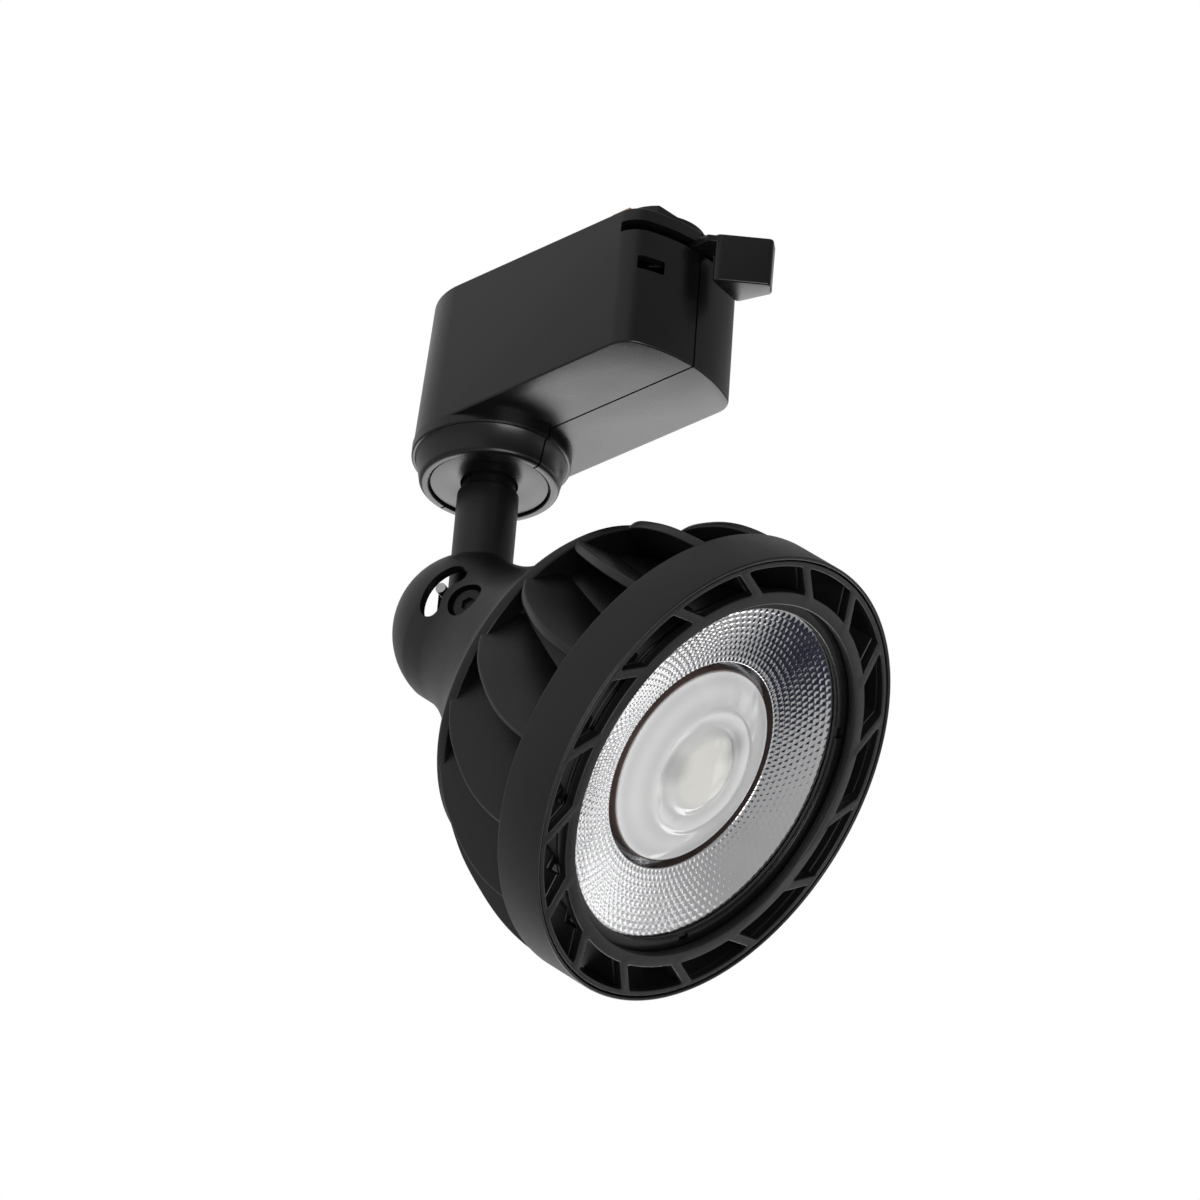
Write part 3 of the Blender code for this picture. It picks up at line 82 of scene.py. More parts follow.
CASE_HEIGHT = 33.9
CASE_WIDTH = 34.0
CASE_END = 59.1
CASE_WALL = 1.8
CASE_END_RADIUS = 34.0
CASE_CORNER = 6.0
CASE_EDGE = 0.45
CASE_DRAFT_ALONG = 0.9566
CASE_DRAFT_ACROSS = 0.98
CASE_DRAFT_CENTRE = 45.2
SEAM = 0.22                         # half the gap between the two halves
SEAT_DEPTH = 0.5                    # pockets under the guide foot and the turret
CASE_SCREW_PLACES = ((10.0, -7.0), (52.0, -24.0))
CASE_SCREW_POCKET_RADIUS = 2.8
CASE_SCREW_POCKET_DEPTH = 3.5
NOTCH_PLACE = (56.6, -12.4, -13.4)  # the opening on the near corner
NOTCH_TURN = math.radians(-28.0)
GUIDE_X = 20.0
GUIDE_HALF_LENGTH = 10.0
GUIDE_HALF_WIDTH = 8.7
GUIDE_TOP = 4.6

FLANGE_RADIUS = 17.2
FLANGE_HEIGHT = 2.2
BOSS_TOP_RADIUS = 16.1
BOSS_RADIUS = 15.2
BOSS_DROP = 8.4
BOSS_WALL = 2.2
PLATE_RADIUS = 12.8
PLATE_THICKNESS = 1.2
PLATE_INSET = 0.5
BOSS_FLOOR = 1.5

NECK_RADIUS = 5.75
STEM_RADIUS = 6.65
STEM_BORE = 3.4
SHOULDER_Z = -44.4
STEM_BOTTOM_Z = -71.0
NECK_TOP_Z = -29.0

TURRET_RADIUS = 9.8
TURRET_NECK = 6.5
TURRET_TOP = 5.5
TURRET_FLAT = 6.2                   # half the width across the two flats
TURRET_FLAT_BOTTOM = 3.1
TURRET_BOTTOM = -8.4
CARRIER_ROOT = 7.0                  # the arms that carry the contacts
CARRIER_TIP = 12.2
LEVER_TOP_Z = -3.5
LEVER_THICKNESS = 1.6
LEVER_HUB_RADIUS = 9.6
LEVER_ARM_WIDTH = 5.6
LEVER_TRAVEL = 56.0
LEVER_SIDE_GAP = 0.45
LEVER_SLOT_REACH = 24.0
LEVER_ARM_OUTLINE_X = (8.2, 17.0, 19.5)
TAB_HEIGHT = 11.2
TAB_OUTLINE = ((17.6, -2.2), (26.6, 7.4), (24.2, 10.6), (15.9, 8.4))

PIVOT_FORWARD = 6.5
PIVOT_ABOVE = 1.2
TILT_UP = 34.0
TILT_DOWN = 37.6
TAIL_RADIUS = 17.6
TAIL_WALL = 2.3
TAIL_WAIST = 17.2
DISC_RADIUS = 38.8
DISC_A = 31.0
DISC_THICKNESS = 1.6
PLATFORM_BACK = 34.0
PLATFORM_FRONT = 40.0
CORE_REAR_RADIUS = 33.6
CORE_FRONT_RADIUS = 41.2
CORE_WALL = 1.7
CORE_FRONT_A = 69.6
BAND_RADIUS = 50.85
BAND_REAR_A = 62.0
BAND_FRONT_A = 74.2
BAND_WALL = 1.9
BAND_LIP = 0.75
GRILLE_BACK_A = 72.2
GRILLE_THICKNESS = 2.3
GRILLE_CROWN = 0.5
GRILLE_BORE = 40.2
SLOT_INNER = 43.0
SLOT_OUTER = 48.6
FIN_COUNT = 16
FIN_THICKNESS = 2.1
FIN_OFFSET = 30.0
FIN_TURN = math.radians(-41.4)
PIVOT_SEAT = 14.8
PIVOT_BORE = 2.3
CHEEK_INNER = 7.3
CHEEK_RADIUS = 5.0
SCREW_HEAD_RADIUS = 3.7
SCREW_HEAD_HEIGHT = 1.4
SCREW_RADIUS = 2.0
SCREW_PAST_NUT = 2.6
SOCKET_RADIUS = 1.7
SOCKET_DEPTH = 0.8
STEM_SLOT_GAP = 0.45
RECESS_RADIUS = 4.3
KIDNEY_RADIUS = 8.8
KIDNEY_WIDTH = 5.0

FLARE_INNER = 23.6
FLARE_INNER_A = 66.8
FLARE_RIM_A = 70.0
WELL_FLOOR_A = 62.4
REFLECTOR_FOOT = 11.5
REFLECTOR_FOOT_A = 46.9
REFLECTOR_RIM = 38.9
RING_BORE = 38.0
RING_BACK_A = 71.2
RING_FOOT_RADIUS = 39.3
RING_NOTCH_ANGLES = (47.0, 137.0, 227.0, 317.0)
LENS_RADIUS = 21.6
LENS_EDGE_A = 67.0
LENS_SHOULDER_A = 63.2
LENS_FOOT = 9.4
LENS_CROWN = 4.2
LENS_RING = (13.4, 0.38, 0.8)       # radius, height, width
LENS_GROOVE = (10.4, 0.75, 1.5)     # radius, depth, width
LENS_COLLAR_WIDTH = 0.3


def head_place():
    """The head's own frame: Z out of the lens, -X up the lens, Y to the far side."""
    origin = middle("retaining_ring") - LIGHT * RING_MIDDLE_A * MM
    place = Matrix.Identity(4)
    for column, axis in enumerate((-UP_THE_LENS, SIDEWAYS, LIGHT)):
        place.col[column][:3] = axis
    place.translation = origin
    return place


HEAD = head_place()
UPRIGHT = Matrix.Identity(4)
LOCK = Matrix.Translation((LOCK_X * MM, 0.0, 0.0))
STEM = Matrix.Rotation(math.atan2(-SIDEWAYS.x, SIDEWAYS.y), 4, "Z")


# ---- making meshes ---------------------------------------------------------------------

def link(name, mesh):
    piece = bpy.data.objects.new(name, mesh)
    bpy.context.scene.collection.objects.link(piece)
    return piece


def soften(profile, radius, steps=3, closed=True):
    """Each corner of a profile replaced by a small arc."""
    points = []
    last = len(profile) - 1
    for index, corner in enumerate(profile):
        if not closed and index in (0, last):
            points.append(tuple(corner))
            continue
        here = Vector(corner)
        back = Vector(profile[index - 1]) - here
        ahead = Vector(profile[(index + 1) % len(profile)]) - here
        bend = math.pi - back.angle(ahead)
        reach = min(radius * math.tan(bend / 2.0), 0.45 * back.length, 0.45 * ahead.length)
        if bend < math.radians(20.0):
            points.append(tuple(here))
            continue
        start = here + back.normalized() * reach
        end = here + ahead.normalized() * reach
        for step in range(steps + 1):
            t = step / steps
            points.append(tuple(start.lerp(here, t).lerp(here.lerp(end, t), t)))
    return points


def turned(name, profile, sides=160, closed=True):
    """A profile of (radius, height) swept round the Z axis; in millimetres."""
    shape = bmesh.new()
    rings = []
    for radius, height in profile:
        if radius < 1e-6:
            rings.append([shape.verts.new((0.0, 0.0, height))])
            continue
        rings.append([shape.verts.new((radius * math.cos(2 * math.pi * k / sides),
                                       radius * math.sin(2 * math.pi * k / sides), height))
                      for k in range(sides)])
    pairs = list(zip(rings, rings[1:]))
    if closed and len(rings[0]) > 1 and len(rings[-1]) > 1:
        pairs.append((rings[-1], rings[0]))
    for first, second in pairs:
        if len(first) == 1 and len(second) == 1:
            continue
        for k in range(sides):
            n = (k + 1) % sides
            corners = [first[k % len(first)], first[n % len(first)],
                       second[n % len(second)], second[k % len(second)]]
            unique = list(dict.fromkeys(corners))
            shape.faces.new(unique)
    return from_bmesh(name, shape)


def from_bmesh(name, shape):
    bmesh.ops.recalc_face_normals(shape, faces=shape.faces)
    mesh = bpy.data.meshes.new(name)
    shape.to_mesh(mesh)
    shape.free()
    return link(name, mesh)


def prism(name, outline, low, high, axis="Z"):
    """An outline extruded between two heights along Z or Y; in millimetres."""
    shape = bmesh.new()
    rings = []
    for height in (low, high):
        rings.append([shape.verts.new((x, y, height) if axis == "Z" else (x, height, y))
                      for x, y in outline])
    shape.faces.new(rings[0])
    shape.faces.new(rings[1])
    for k in range(len(outline)):
        n = (k + 1) % len(outline)
        shape.faces.new((rings[0][k], rings[0][n], rings[1][n], rings[1][k]))
    return from_bmesh(name, shape)


def evaluated(piece):
    """The piece's mesh with its modifiers applied, as a plain mesh on the same object."""
    bpy.context.view_layer.update()
    graph = bpy.context.evaluated_depsgraph_get()
    mesh = bpy.data.meshes.new_from_object(piece.evaluated_get(graph))
    piece.modifiers.clear()
    old = piece.data
    piece.data = mesh
    bpy.data.meshes.remove(old)
    return piece


def boolean(piece, operation, *others):
    for other in others:
        step = piece.modifiers.new("shape", "BOOLEAN")
        step.operation = operation
        step.solver = "MANIFOLD"
        step.object = other
    evaluated(piece)
    for other in others:
        bpy.data.objects.remove(other, do_unlink=True)
    return piece


def cut(piece, *others):
    return boolean(piece, "DIFFERENCE", *others)


def unite(piece, *others):
    return boolean(piece, "UNION", *others)


def rod(name, centre, radius, length, axis="Z", sides=48):
    turn = Matrix.Rotation(math.radians(90.0), 4, "X") if axis == "Y" else Matrix.Identity(4)
    shape = bmesh.new()
    bmesh.ops.create_cone(shape, cap_ends=True, segments=sides, radius1=radius,
                          radius2=radius, depth=length,
                          matrix=Matrix.Translation(centre) @ turn)
    return from_bmesh(name, shape)


def block(name, centre, size):
    shape = bmesh.new()
    bmesh.ops.create_cube(shape, size=1.0)
    bmesh.ops.scale(shape, vec=size, verts=shape.verts)
    bmesh.ops.translate(shape, vec=centre, verts=shape.verts)
    return from_bmesh(name, shape)


def arc(centre, radius, start, end, steps):
    return [(centre[0] + radius * math.cos(start + (end - start) * k / steps),
             centre[1] + radius * math.sin(start + (end - start) * k / steps))
            for k in range(steps + 1)]


def plate(name, outer, holes, thickness, edge):
    """A flat plate with holes and rounded edges, from a filled 2D curve."""
    curve = bpy.data.curves.new(name, "CURVE")
    curve.dimensions = "2D"
    curve.fill_mode = "BOTH"
    curve.extrude = thickness / 2.0 - edge
    curve.bevel_depth = edge
    curve.bevel_resolution = 3
    curve.offset = -edge
    for outline in [outer] + holes:
        spline = curve.splines.new("POLY")
        spline.points.add(len(outline) - 1)
        for point, (x, y) in zip(spline.points, outline):
            point.co = (x, y, 0.0, 1.0)
        spline.use_cyclic_u = True
    holder = link(name + "_curve", curve)
    bpy.context.view_layer.update()
    graph = bpy.context.evaluated_depsgraph_get()
    mesh = bpy.data.meshes.new_from_object(holder.evaluated_get(graph))
    bpy.data.objects.remove(holder, do_unlink=True)
    bpy.data.curves.remove(curve)
    shape = bmesh.new()
    shape.from_mesh(mesh)
    bpy.data.meshes.remove(mesh)
    bmesh.ops.remove_doubles(shape, verts=shape.verts, dist=0.002)
    return from_bmesh(name, shape)


def finish(piece, place, body, finish_material, nodes=(), angle=38.0):
    """Place a piece in the model, give it its finish and let it ride on its body."""
    piece.data.transform(place @ Matrix.Scale(MM, 4))
    piece.data.materials.clear()
    piece.data.materials.append(finish_material)
    piece.data.shade_smooth()
    piece.data.set_sharp_from_angle(angle=math.radians(angle))
    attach(piece, body)
    if nodes:
        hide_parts(*nodes)
    return piece


# ---- geometry nodes: what repeats round an axis ----------------------------------------

def ring_tree():
    """A node tree that repeats one shape round the Z axis."""
    tree = bpy.data.node_groups.new("repeat round axis", "GeometryNodeTree")
    tree.interface.new_socket("Geometry", in_out="INPUT", socket_type="NodeSocketGeometry")
    count = tree.interface.new_socket("Count", in_out="INPUT", socket_type="NodeSocketInt")
    finish_socket = tree.interface.new_socket("Finish", in_out="INPUT",
                                              socket_type="NodeSocketMaterial")
    tree.interface.new_socket("Geometry", in_out="OUTPUT", socket_type="NodeSocketGeometry")
    nodes, links = tree.nodes, tree.links
    start = nodes.new("NodeGroupInput")
    end = nodes.new("NodeGroupOutput")
    points = nodes.new("GeometryNodePoints")
    index = nodes.new("GeometryNodeInputIndex")
    share = nodes.new("ShaderNodeMath")
    share.operation = "DIVIDE"
    turn = nodes.new("ShaderNodeMath")
    turn.operation = "MULTIPLY"
    turn.inputs[1].default_value = 2.0 * math.pi
    spin = nodes.new("ShaderNodeCombineXYZ")
    copies = nodes.new("GeometryNodeInstanceOnPoints")
    realize = nodes.new("GeometryNodeRealizeInstances")
    paint = nodes.new("GeometryNodeSetMaterial")
    links.new(start.outputs["Count"], points.inputs["Count"])
    links.new(index.outputs[0], share.inputs[0])
    links.new(start.outputs["Count"], share.inputs[1])
    links.new(share.outputs[0], turn.inputs[0])
    links.new(turn.outputs[0], spin.inputs["Z"])
    links.new(points.outputs[0], copies.inputs["Points"])
    links.new(start.outputs["Geometry"], copies.inputs["Instance"])
    links.new(spin.outputs[0], copies.inputs["Rotation"])
    links.new(copies.outputs[0], realize.inputs[0])
    links.new(realize.outputs[0], paint.inputs["Geometry"])
    links.new(start.outputs["Finish"], paint.inputs["Material"])
    links.new(paint.outputs[0], end.inputs[0])
    return tree, count.identifier, finish_socket.identifier


RING_TREE, RING_COUNT, RING_FINISH = ring_tree()


def repeat_round(piece, count, material):
    """Copies of a shape round its Z axis, as one plain mesh."""
    step = piece.modifiers.new("copies", "NODES")
    step.node_group = RING_TREE
    step[RING_COUNT] = count
    step[RING_FINISH] = material
    return evaluated(piece)


# ---- finishes --------------------------------------------------------------------------

def grain_group():
    """Surface grain shared by every finish: a fine height and a slow mottle, 0 to 1."""
    group = bpy.data.node_groups.new("surface grain", "ShaderNodeTree")
    face = group.interface
    for name, value in (("Grain per metre", 2500.0), ("Mottle per metre", 60.0),
                        ("Depth", 1.0)):
        socket = face.new_socket(name, in_out="INPUT", socket_type="NodeSocketFloat")
        socket.default_value = value
    for name in ("Height", "Mottle"):
        face.new_socket(name, in_out="OUTPUT", socket_type="NodeSocketFloat")
    nodes, links = group.nodes, group.links
    start = nodes.new("NodeGroupInput")
    end = nodes.new("NodeGroupOutput")
    place = nodes.new("ShaderNodeTexCoord")
    fine = nodes.new("ShaderNodeTexNoise")
    fine.inputs["Detail"].default_value = 2.0
    slow = nodes.new("ShaderNodeTexNoise")
    slow.inputs["Detail"].default_value = 4.0
    slow.inputs["Roughness"].default_value = 0.6
    deep = nodes.new("ShaderNodeMath")
    deep.operation = "MULTIPLY"
    links.new(place.outputs["Object"], fine.inputs["Vector"])
    links.new(place.outputs["Object"], slow.inputs["Vector"])
    links.new(start.outputs["Grain per metre"], fine.inputs["Scale"])
    links.new(start.outputs["Mottle per metre"], slow.inputs["Scale"])
    links.new(fine.outputs["Fac"], deep.inputs[0])
    links.new(start.outputs["Depth"], deep.inputs[1])
    links.new(deep.outputs[0], end.inputs["Height"])
    links.new(slow.outputs["Fac"], end.inputs["Mottle"])
    return group


GRAIN = grain_group()


def finish_of(name, dark, light, roughness, metallic=0.0, grain=2500.0, mottle=60.0,
              bump=0.15, depth=0.00003, **plain):
    """A finish that varies slowly between two colours and two roughness values, with grain."""
    material = bpy.data.materials.new(name)
    material.use_nodes = True
    nodes, links = material.node_tree.nodes, material.node_tree.links
    shader = nodes["Principled BSDF"]
    surface = nodes.new("ShaderNodeGroup")
    surface.node_tree = GRAIN
    surface.inputs["Grain per metre"].default_value = grain
    surface.inputs["Mottle per metre"].default_value = mottle
    blend = nodes.new("ShaderNodeMix")
    blend.data_type = "RGBA"
    blend.inputs["A"].default_value = (*dark, 1.0)
    blend.inputs["B"].default_value = (*light, 1.0)
    rough = nodes.new("ShaderNodeMapRange")
    rough.inputs["From Min"].default_value = 0.3
    rough.inputs["From Max"].default_value = 0.7
    rough.inputs["To Min"].default_value = roughness[0]
    rough.inputs["To Max"].default_value = roughness[1]
    bumps = nodes.new("ShaderNodeBump")
    bumps.inputs["Strength"].default_value = bump
    bumps.inputs["Distance"].default_value = depth
    links.new(surface.outputs["Mottle"], blend.inputs["Factor"])
    links.new(blend.outputs["Result"], shader.inputs["Base Color"])
    links.new(surface.outputs["Mottle"], rough.inputs["Value"])
    links.new(rough.outputs["Result"], shader.inputs["Roughness"])
    links.new(surface.outputs["Height"], bumps.inputs["Height"])
    links.new(bumps.outputs["Normal"], shader.inputs["Normal"])
    shader.inputs["Metallic"].default_value = metallic
    for socket, value in plain.items():
        shader.inputs[socket.replace("_", " ")].default_value = value
    return material


POWDER_COAT = finish_of("black powder coat", (0.0040, 0.0040, 0.0044),
                        (0.0075, 0.0075, 0.0082), (0.36, 0.46), grain=2600.0, bump=0.55,
                        depth=0.00006)
SATIN_CASE = finish_of("satin black case", (0.0036, 0.0036, 0.0042),
                       (0.0062, 0.0062, 0.0070), (0.24, 0.32), grain=4200.0, bump=0.20,
                       depth=0.00003)
SMOOTH_BLACK = finish_of("smooth black moulding", (0.0030, 0.0030, 0.0034),
                         (0.0055, 0.0055, 0.0060), (0.18, 0.26), grain=1500.0, bump=0.08)
BLACKED_STEEL = finish_of("blackened steel", (0.018, 0.018, 0.019), (0.035, 0.035, 0.036),
                          (0.30, 0.42), metallic=0.6, grain=4200.0)
ZINC = finish_of("zinc plated steel", (0.50, 0.50, 0.51), (0.66, 0.66, 0.67), (0.26, 0.38),
                 metallic=1.0, grain=4200.0)
CONTACT_COPPER = finish_of("contact copper", (0.66, 0.34, 0.20), (0.78, 0.46, 0.28),
                           (0.22, 0.34), metallic=1.0, grain=4200.0)
BRIGHT_METALLISED = finish_of("bright metallised", (0.80, 0.80, 0.82), (0.90, 0.90, 0.91),
                              (0.08, 0.14), metallic=1.0, grain=2200.0, mottle=160.0,
                              bump=0.35, depth=0.00006)
GASKET_RUBBER = finish_of("black silicone", (0.012, 0.012, 0.012), (0.022, 0.022, 0.022),
                          (0.6, 0.75))
WHITE_HOLDER = finish_of("white moulded holder", (0.78, 0.78, 0.75), (0.86, 0.86, 0.84),
                         (0.4, 0.5))
BARE_ALUMINIUM = finish_of("bare aluminium board", (0.68, 0.69, 0.70), (0.80, 0.81, 0.82),
                           (0.3, 0.4), metallic=1.0)
PHOSPHOR = finish_of("phosphor", (0.86, 0.68, 0.16), (0.95, 0.80, 0.26), (0.45, 0.6),
                     grain=900.0)
THERMAL_PAD = finish_of("grey thermal pad", (0.38, 0.41, 0.48), (0.50, 0.53, 0.60), (0.7, 0.85))
GREEN_BOARD = finish_of("green circuit board", (0.02, 0.15, 0.06), (0.03, 0.21, 0.09),
                        (0.35, 0.5), mottle=400.0)
DARK_CORE = finish_of("dark moulded component", (0.02, 0.02, 0.02), (0.04, 0.04, 0.04),
                      (0.45, 0.6))
CAN_SLEEVE = finish_of("sleeved can", (0.02, 0.03, 0.10), (0.03, 0.04, 0.14), (0.25, 0.35))
YELLOW_CASE = finish_of("yellow component case", (0.70, 0.48, 0.03), (0.80, 0.58, 0.06),
                        (0.3, 0.42))
RED_WIRE = finish_of("red wire", (0.42, 0.015, 0.012), (0.55, 0.025, 0.02), (0.4, 0.52))
BLACK_WIRE = finish_of("black wire", (0.012, 0.012, 0.012), (0.02, 0.02, 0.02), (0.4, 0.52))
# Painted shade: a dark colour for the thin collar round the lens's side, standing in for the shadow at the
# lens's edge.
LENS_SIDE_PAINTED_SHADE = finish_of("painted shade at lens edge", (0.055, 0.035, 0.028), (0.16, 0.12, 0.11),
                      (0.12, 0.2), mottle=90.0)
MILKY_LENS = finish_of("milky lens", (0.86, 0.86, 0.86), (0.95, 0.95, 0.94), (0.30, 0.42),
                       grain=900.0, mottle=70.0, bump=0.1, Transmission_Weight=0.12,
                       IOR=1.49, Coat_Weight=0.8, Coat_Roughness=0.05)


LENS_TINTS = ((0.0, (1.0, 0.99, 0.92)), (0.30, (1.0, 0.99, 0.93)), (0.40, (0.86, 0.86, 0.85)),
              (0.50, (0.80, 0.80, 0.80)), (0.60, (1.0, 1.0, 1.0)), (0.68, (0.84, 0.84, 0.84)),
              (0.82, (0.95, 0.95, 0.95)), (0.93, (0.86, 0.86, 0.87)), (1.0, (1.0, 1.0, 1.0)))
# Painted shade: two soft grey patches mixed into the lens's colour where shadow falls on it.
LENS_PAINTED_SHADES = ((0.9, 0.35, 0.42), (-0.45, -0.85, 0.34))    # up, aside, strength
LENS_PAINTED_SHADE_RADIUS = 9.4
LENS_PAINTED_SHADE_REACH = (0.8, 5.2)


def paint_lens_rings_and_shade(material):
    """Lighter and darker rings by distance from the light's axis, and two soft patches of painted shade on the
    lens.
    """
    nodes, links = material.node_tree.nodes, material.node_tree.links
    shader = nodes["Principled BSDF"]
    plain = shader.inputs["Base Color"].links[0].from_socket
    place = nodes.new("ShaderNodeTexCoord")
    centred = nodes.new("ShaderNodeVectorMath")
    centred.operation = "SUBTRACT"
    centred.inputs[1].default_value = HEAD.translation
    links.new(place.outputs["Object"], centred.inputs[0])

    def along(direction):
        dot = nodes.new("ShaderNodeVectorMath")
        dot.operation = "DOT_PRODUCT"
        dot.inputs[1].default_value = direction
        links.new(centred.outputs[0], dot.inputs[0])
        return dot.outputs["Value"]

    flat = nodes.new("ShaderNodeCombineXYZ")
    links.new(along(UP_THE_LENS), flat.inputs["X"])
    links.new(along(SIDEWAYS), flat.inputs["Y"])
    far = nodes.new("ShaderNodeVectorMath")
    far.operation = "LENGTH"
    links.new(flat.outputs[0], far.inputs[0])
    share = nodes.new("ShaderNodeMath")
    share.operation = "DIVIDE"
    share.inputs[1].default_value = LENS_RADIUS * MM
    links.new(far.outputs["Value"], share.inputs[0])
    rings = nodes.new("ShaderNodeValToRGB")
    rings.color_ramp.interpolation = "EASE"
    ramp = rings.color_ramp.elements
    while len(ramp) < len(LENS_TINTS):
        ramp.new(1.0)
    for element, (position, colour) in zip(ramp, LENS_TINTS):
        element.position = position
        element.color = (*colour, 1.0)
    links.new(share.outputs[0], rings.inputs["Fac"])
    shaded = nodes.new("ShaderNodeMix")
    shaded.data_type = "RGBA"
    shaded.blend_type = "MULTIPLY"
    shaded.inputs["Factor"].default_value = 1.0
    links.new(plain, shaded.inputs["A"])
    links.new(rings.outputs["Color"], shaded.inputs["B"])
    colour = shaded.outputs["Result"]
    near, far_end = LENS_PAINTED_SHADE_REACH
    # Painted shade: each patch mixes the lens's colour towards grey round a fixed place on the lens.
    for up, side, strength in LENS_PAINTED_SHADES:
        spot = Vector((up, side, 0.0)).normalized() * LENS_PAINTED_SHADE_RADIUS * MM
        reach = nodes.new("ShaderNodeVectorMath")
        reach.operation = "DISTANCE"
        reach.inputs[1].default_value = spot
        links.new(flat.outputs[0], reach.inputs[0])
        shade = nodes.new("ShaderNodeMapRange")
        shade.interpolation_type = "SMOOTHSTEP"
        for socket, value in (("From Min", near * MM), ("From Max", far_end * MM),
                              ("To Min", strength), ("To Max", 0.0)):
            shade.inputs[socket].default_value = value
        links.new(reach.outputs["Value"], shade.inputs["Value"])
        grey = nodes.new("ShaderNodeMix")
        grey.data_type = "RGBA"
        grey.inputs["B"].default_value = (0.16, 0.16, 0.17, 1.0)
        links.new(shade.outputs["Result"], grey.inputs["Factor"])
        links.new(colour, grey.inputs["A"])
        colour = grey.outputs["Result"]
    links.new(colour, shader.inputs["Base Color"])


paint_lens_rings_and_shade(MILKY_LENS)

SLOT_FINISH = {
    "black_paint": POWDER_COAT, "black_plastic": SATIN_CASE, "black_steel": BLACKED_STEEL,
    "steel": ZINC, "copper": CONTACT_COPPER, "board": GREEN_BOARD, "dark_core": DARK_CORE,
    "capacitor_sleeve": CAN_SLEEVE, "capacitor_yellow": YELLOW_CASE, "wire_red": RED_WIRE,
    "wire_black": BLACK_WIRE, "reflector": BRIGHT_METALLISED, "frosted_lens": MILKY_LENS,
    "gasket": GASKET_RUBBER, "pad": THERMAL_PAD, "cob_board": BARE_ALUMINIUM,
    "phosphor": PHOSPHOR, "white_holder": WHITE_HOLDER,
}

for row in frame["record"]["subparts"]:
    node = frame["nodes"][row["node"]]
    node.data.materials.clear()
    node.data.materials.append(SLOT_FINISH[row["material_slot"]])


# ---- adapter ---------------------------------------------------------------------------

def case_outline(inset=0.0):
    """The adapter's plan: a half round over the stem, straight sides and a shallow arc."""
    half = CASE_WIDTH / 2.0 - inset
    end = CASE_END - inset
    end_radius = CASE_END_RADIUS - inset
    corner = CASE_CORNER - inset
    centre_x = end - end_radius
    fillet_y = half - corner
    fillet_x = centre_x + math.sqrt((end_radius - corner) ** 2 - fillet_y ** 2)
    meet = math.atan2(fillet_y, fillet_x - centre_x)
    points = arc((0.0, 0.0), half, math.radians(90.0), math.radians(270.0), 64)
    points += arc((fillet_x, -fillet_y), corner, math.radians(-90.0), -meet, 12)
    points += arc((centre_x, 0.0), end_radius, -meet, meet, 24)[1:-1]
    points += arc((fillet_x, fillet_y), corner, meet, math.radians(90.0), 12)
    return points


def rounded_prism(name, outline, low, high, edge, steps=4, axis="Z"):
    """An extruded outline whose top and bottom edges are rounded."""
    count = len(outline)
    area = sum(outline[k - 1][0] * outline[k][1] - outline[k][0] * outline[k - 1][1]
               for k in range(count))
    turn = 1.0 if area > 0.0 else -1.0
    inward = []
    for k in range(count):
        back = (Vector(outline[k]) - Vector(outline[k - 1])).normalized()
        ahead = (Vector(outline[(k + 1) % count]) - Vector(outline[k])).normalized()
        normal = Vector((-back.y - ahead.y, back.x + ahead.x)).normalized() * turn
        spread = max(0.4, normal.dot(Vector((-ahead.y, ahead.x)) * turn))
        inward.append(normal / spread)
    levels = []
    for step in range(steps + 1):
        angle = math.pi / 2.0 * step / steps
        levels.append((low + edge * (1.0 - math.sin(angle)), edge * (1.0 - math.cos(angle))))
    levels = list(reversed(levels))
    upper = [(low + high - height, inset) for height, inset in reversed(levels)]
    shape = bmesh.new()
    rings = []
    for height, inset in levels + upper:
        ring = []
        for (x, y), normal in zip(outline, inward):
            px = x + normal.x * inset
            py = y + normal.y * inset
            ring.append(shape.verts.new((px, py, height) if axis == "Z"
                                        else (px, height, py)))
        rings.append(ring)
    shape.faces.new(rings[0])
    shape.faces.new(rings[-1])
    for first, second in zip(rings, rings[1:]):
        for k in range(count):
            n = (k + 1) % count
            shape.faces.new((first[k], first[n], second[n], second[k]))
    return from_bmesh(name, shape)


def draft(piece):
    for vertex in piece.data.vertices:
        rise = (vertex.co.z + CASE_HEIGHT) / CASE_HEIGHT
        along = 1.0 + (CASE_DRAFT_ALONG - 1.0) * rise
        across = 1.0 + (CASE_DRAFT_ACROSS - 1.0) * rise
        vertex.co.x = CASE_DRAFT_CENTRE + (vertex.co.x - CASE_DRAFT_CENTRE) * along
        vertex.co.y *= across
    return piece


def boss():
    """The round boss that carries the stem, with its wider flange under the case."""
    bottom = -CASE_HEIGHT - BOSS_DROP
    flange = -CASE_HEIGHT - FLANGE_HEIGHT
    inner = PLATE_RADIUS + GAP
    ceiling = bottom + PLATE_INSET + PLATE_THICKNESS + GAP
    rounded_foot = arc((BOSS_RADIUS - 1.2, bottom + 1.2), 1.2, math.radians(-90.0), 0.0, 8)
    profile = [(NECK_RADIUS + GAP, ceiling), (inner, ceiling), (inner, bottom + 0.2),
               (inner + 0.2, bottom)] + rounded_foot
    profile += [(BOSS_TOP_RADIUS, flange - 0.4), (BOSS_TOP_RADIUS + 0.4, flange),
                (FLANGE_RADIUS - 0.3, flange), (FLANGE_RADIUS, flange + 0.3),
                (FLANGE_RADIUS, -CASE_HEIGHT + 0.3), (FLANGE_RADIUS - 0.3, -CASE_HEIGHT + 0.6),
                (NECK_RADIUS + GAP, -CASE_HEIGHT + 0.6)]
    return turned("boss", profile, sides=192)


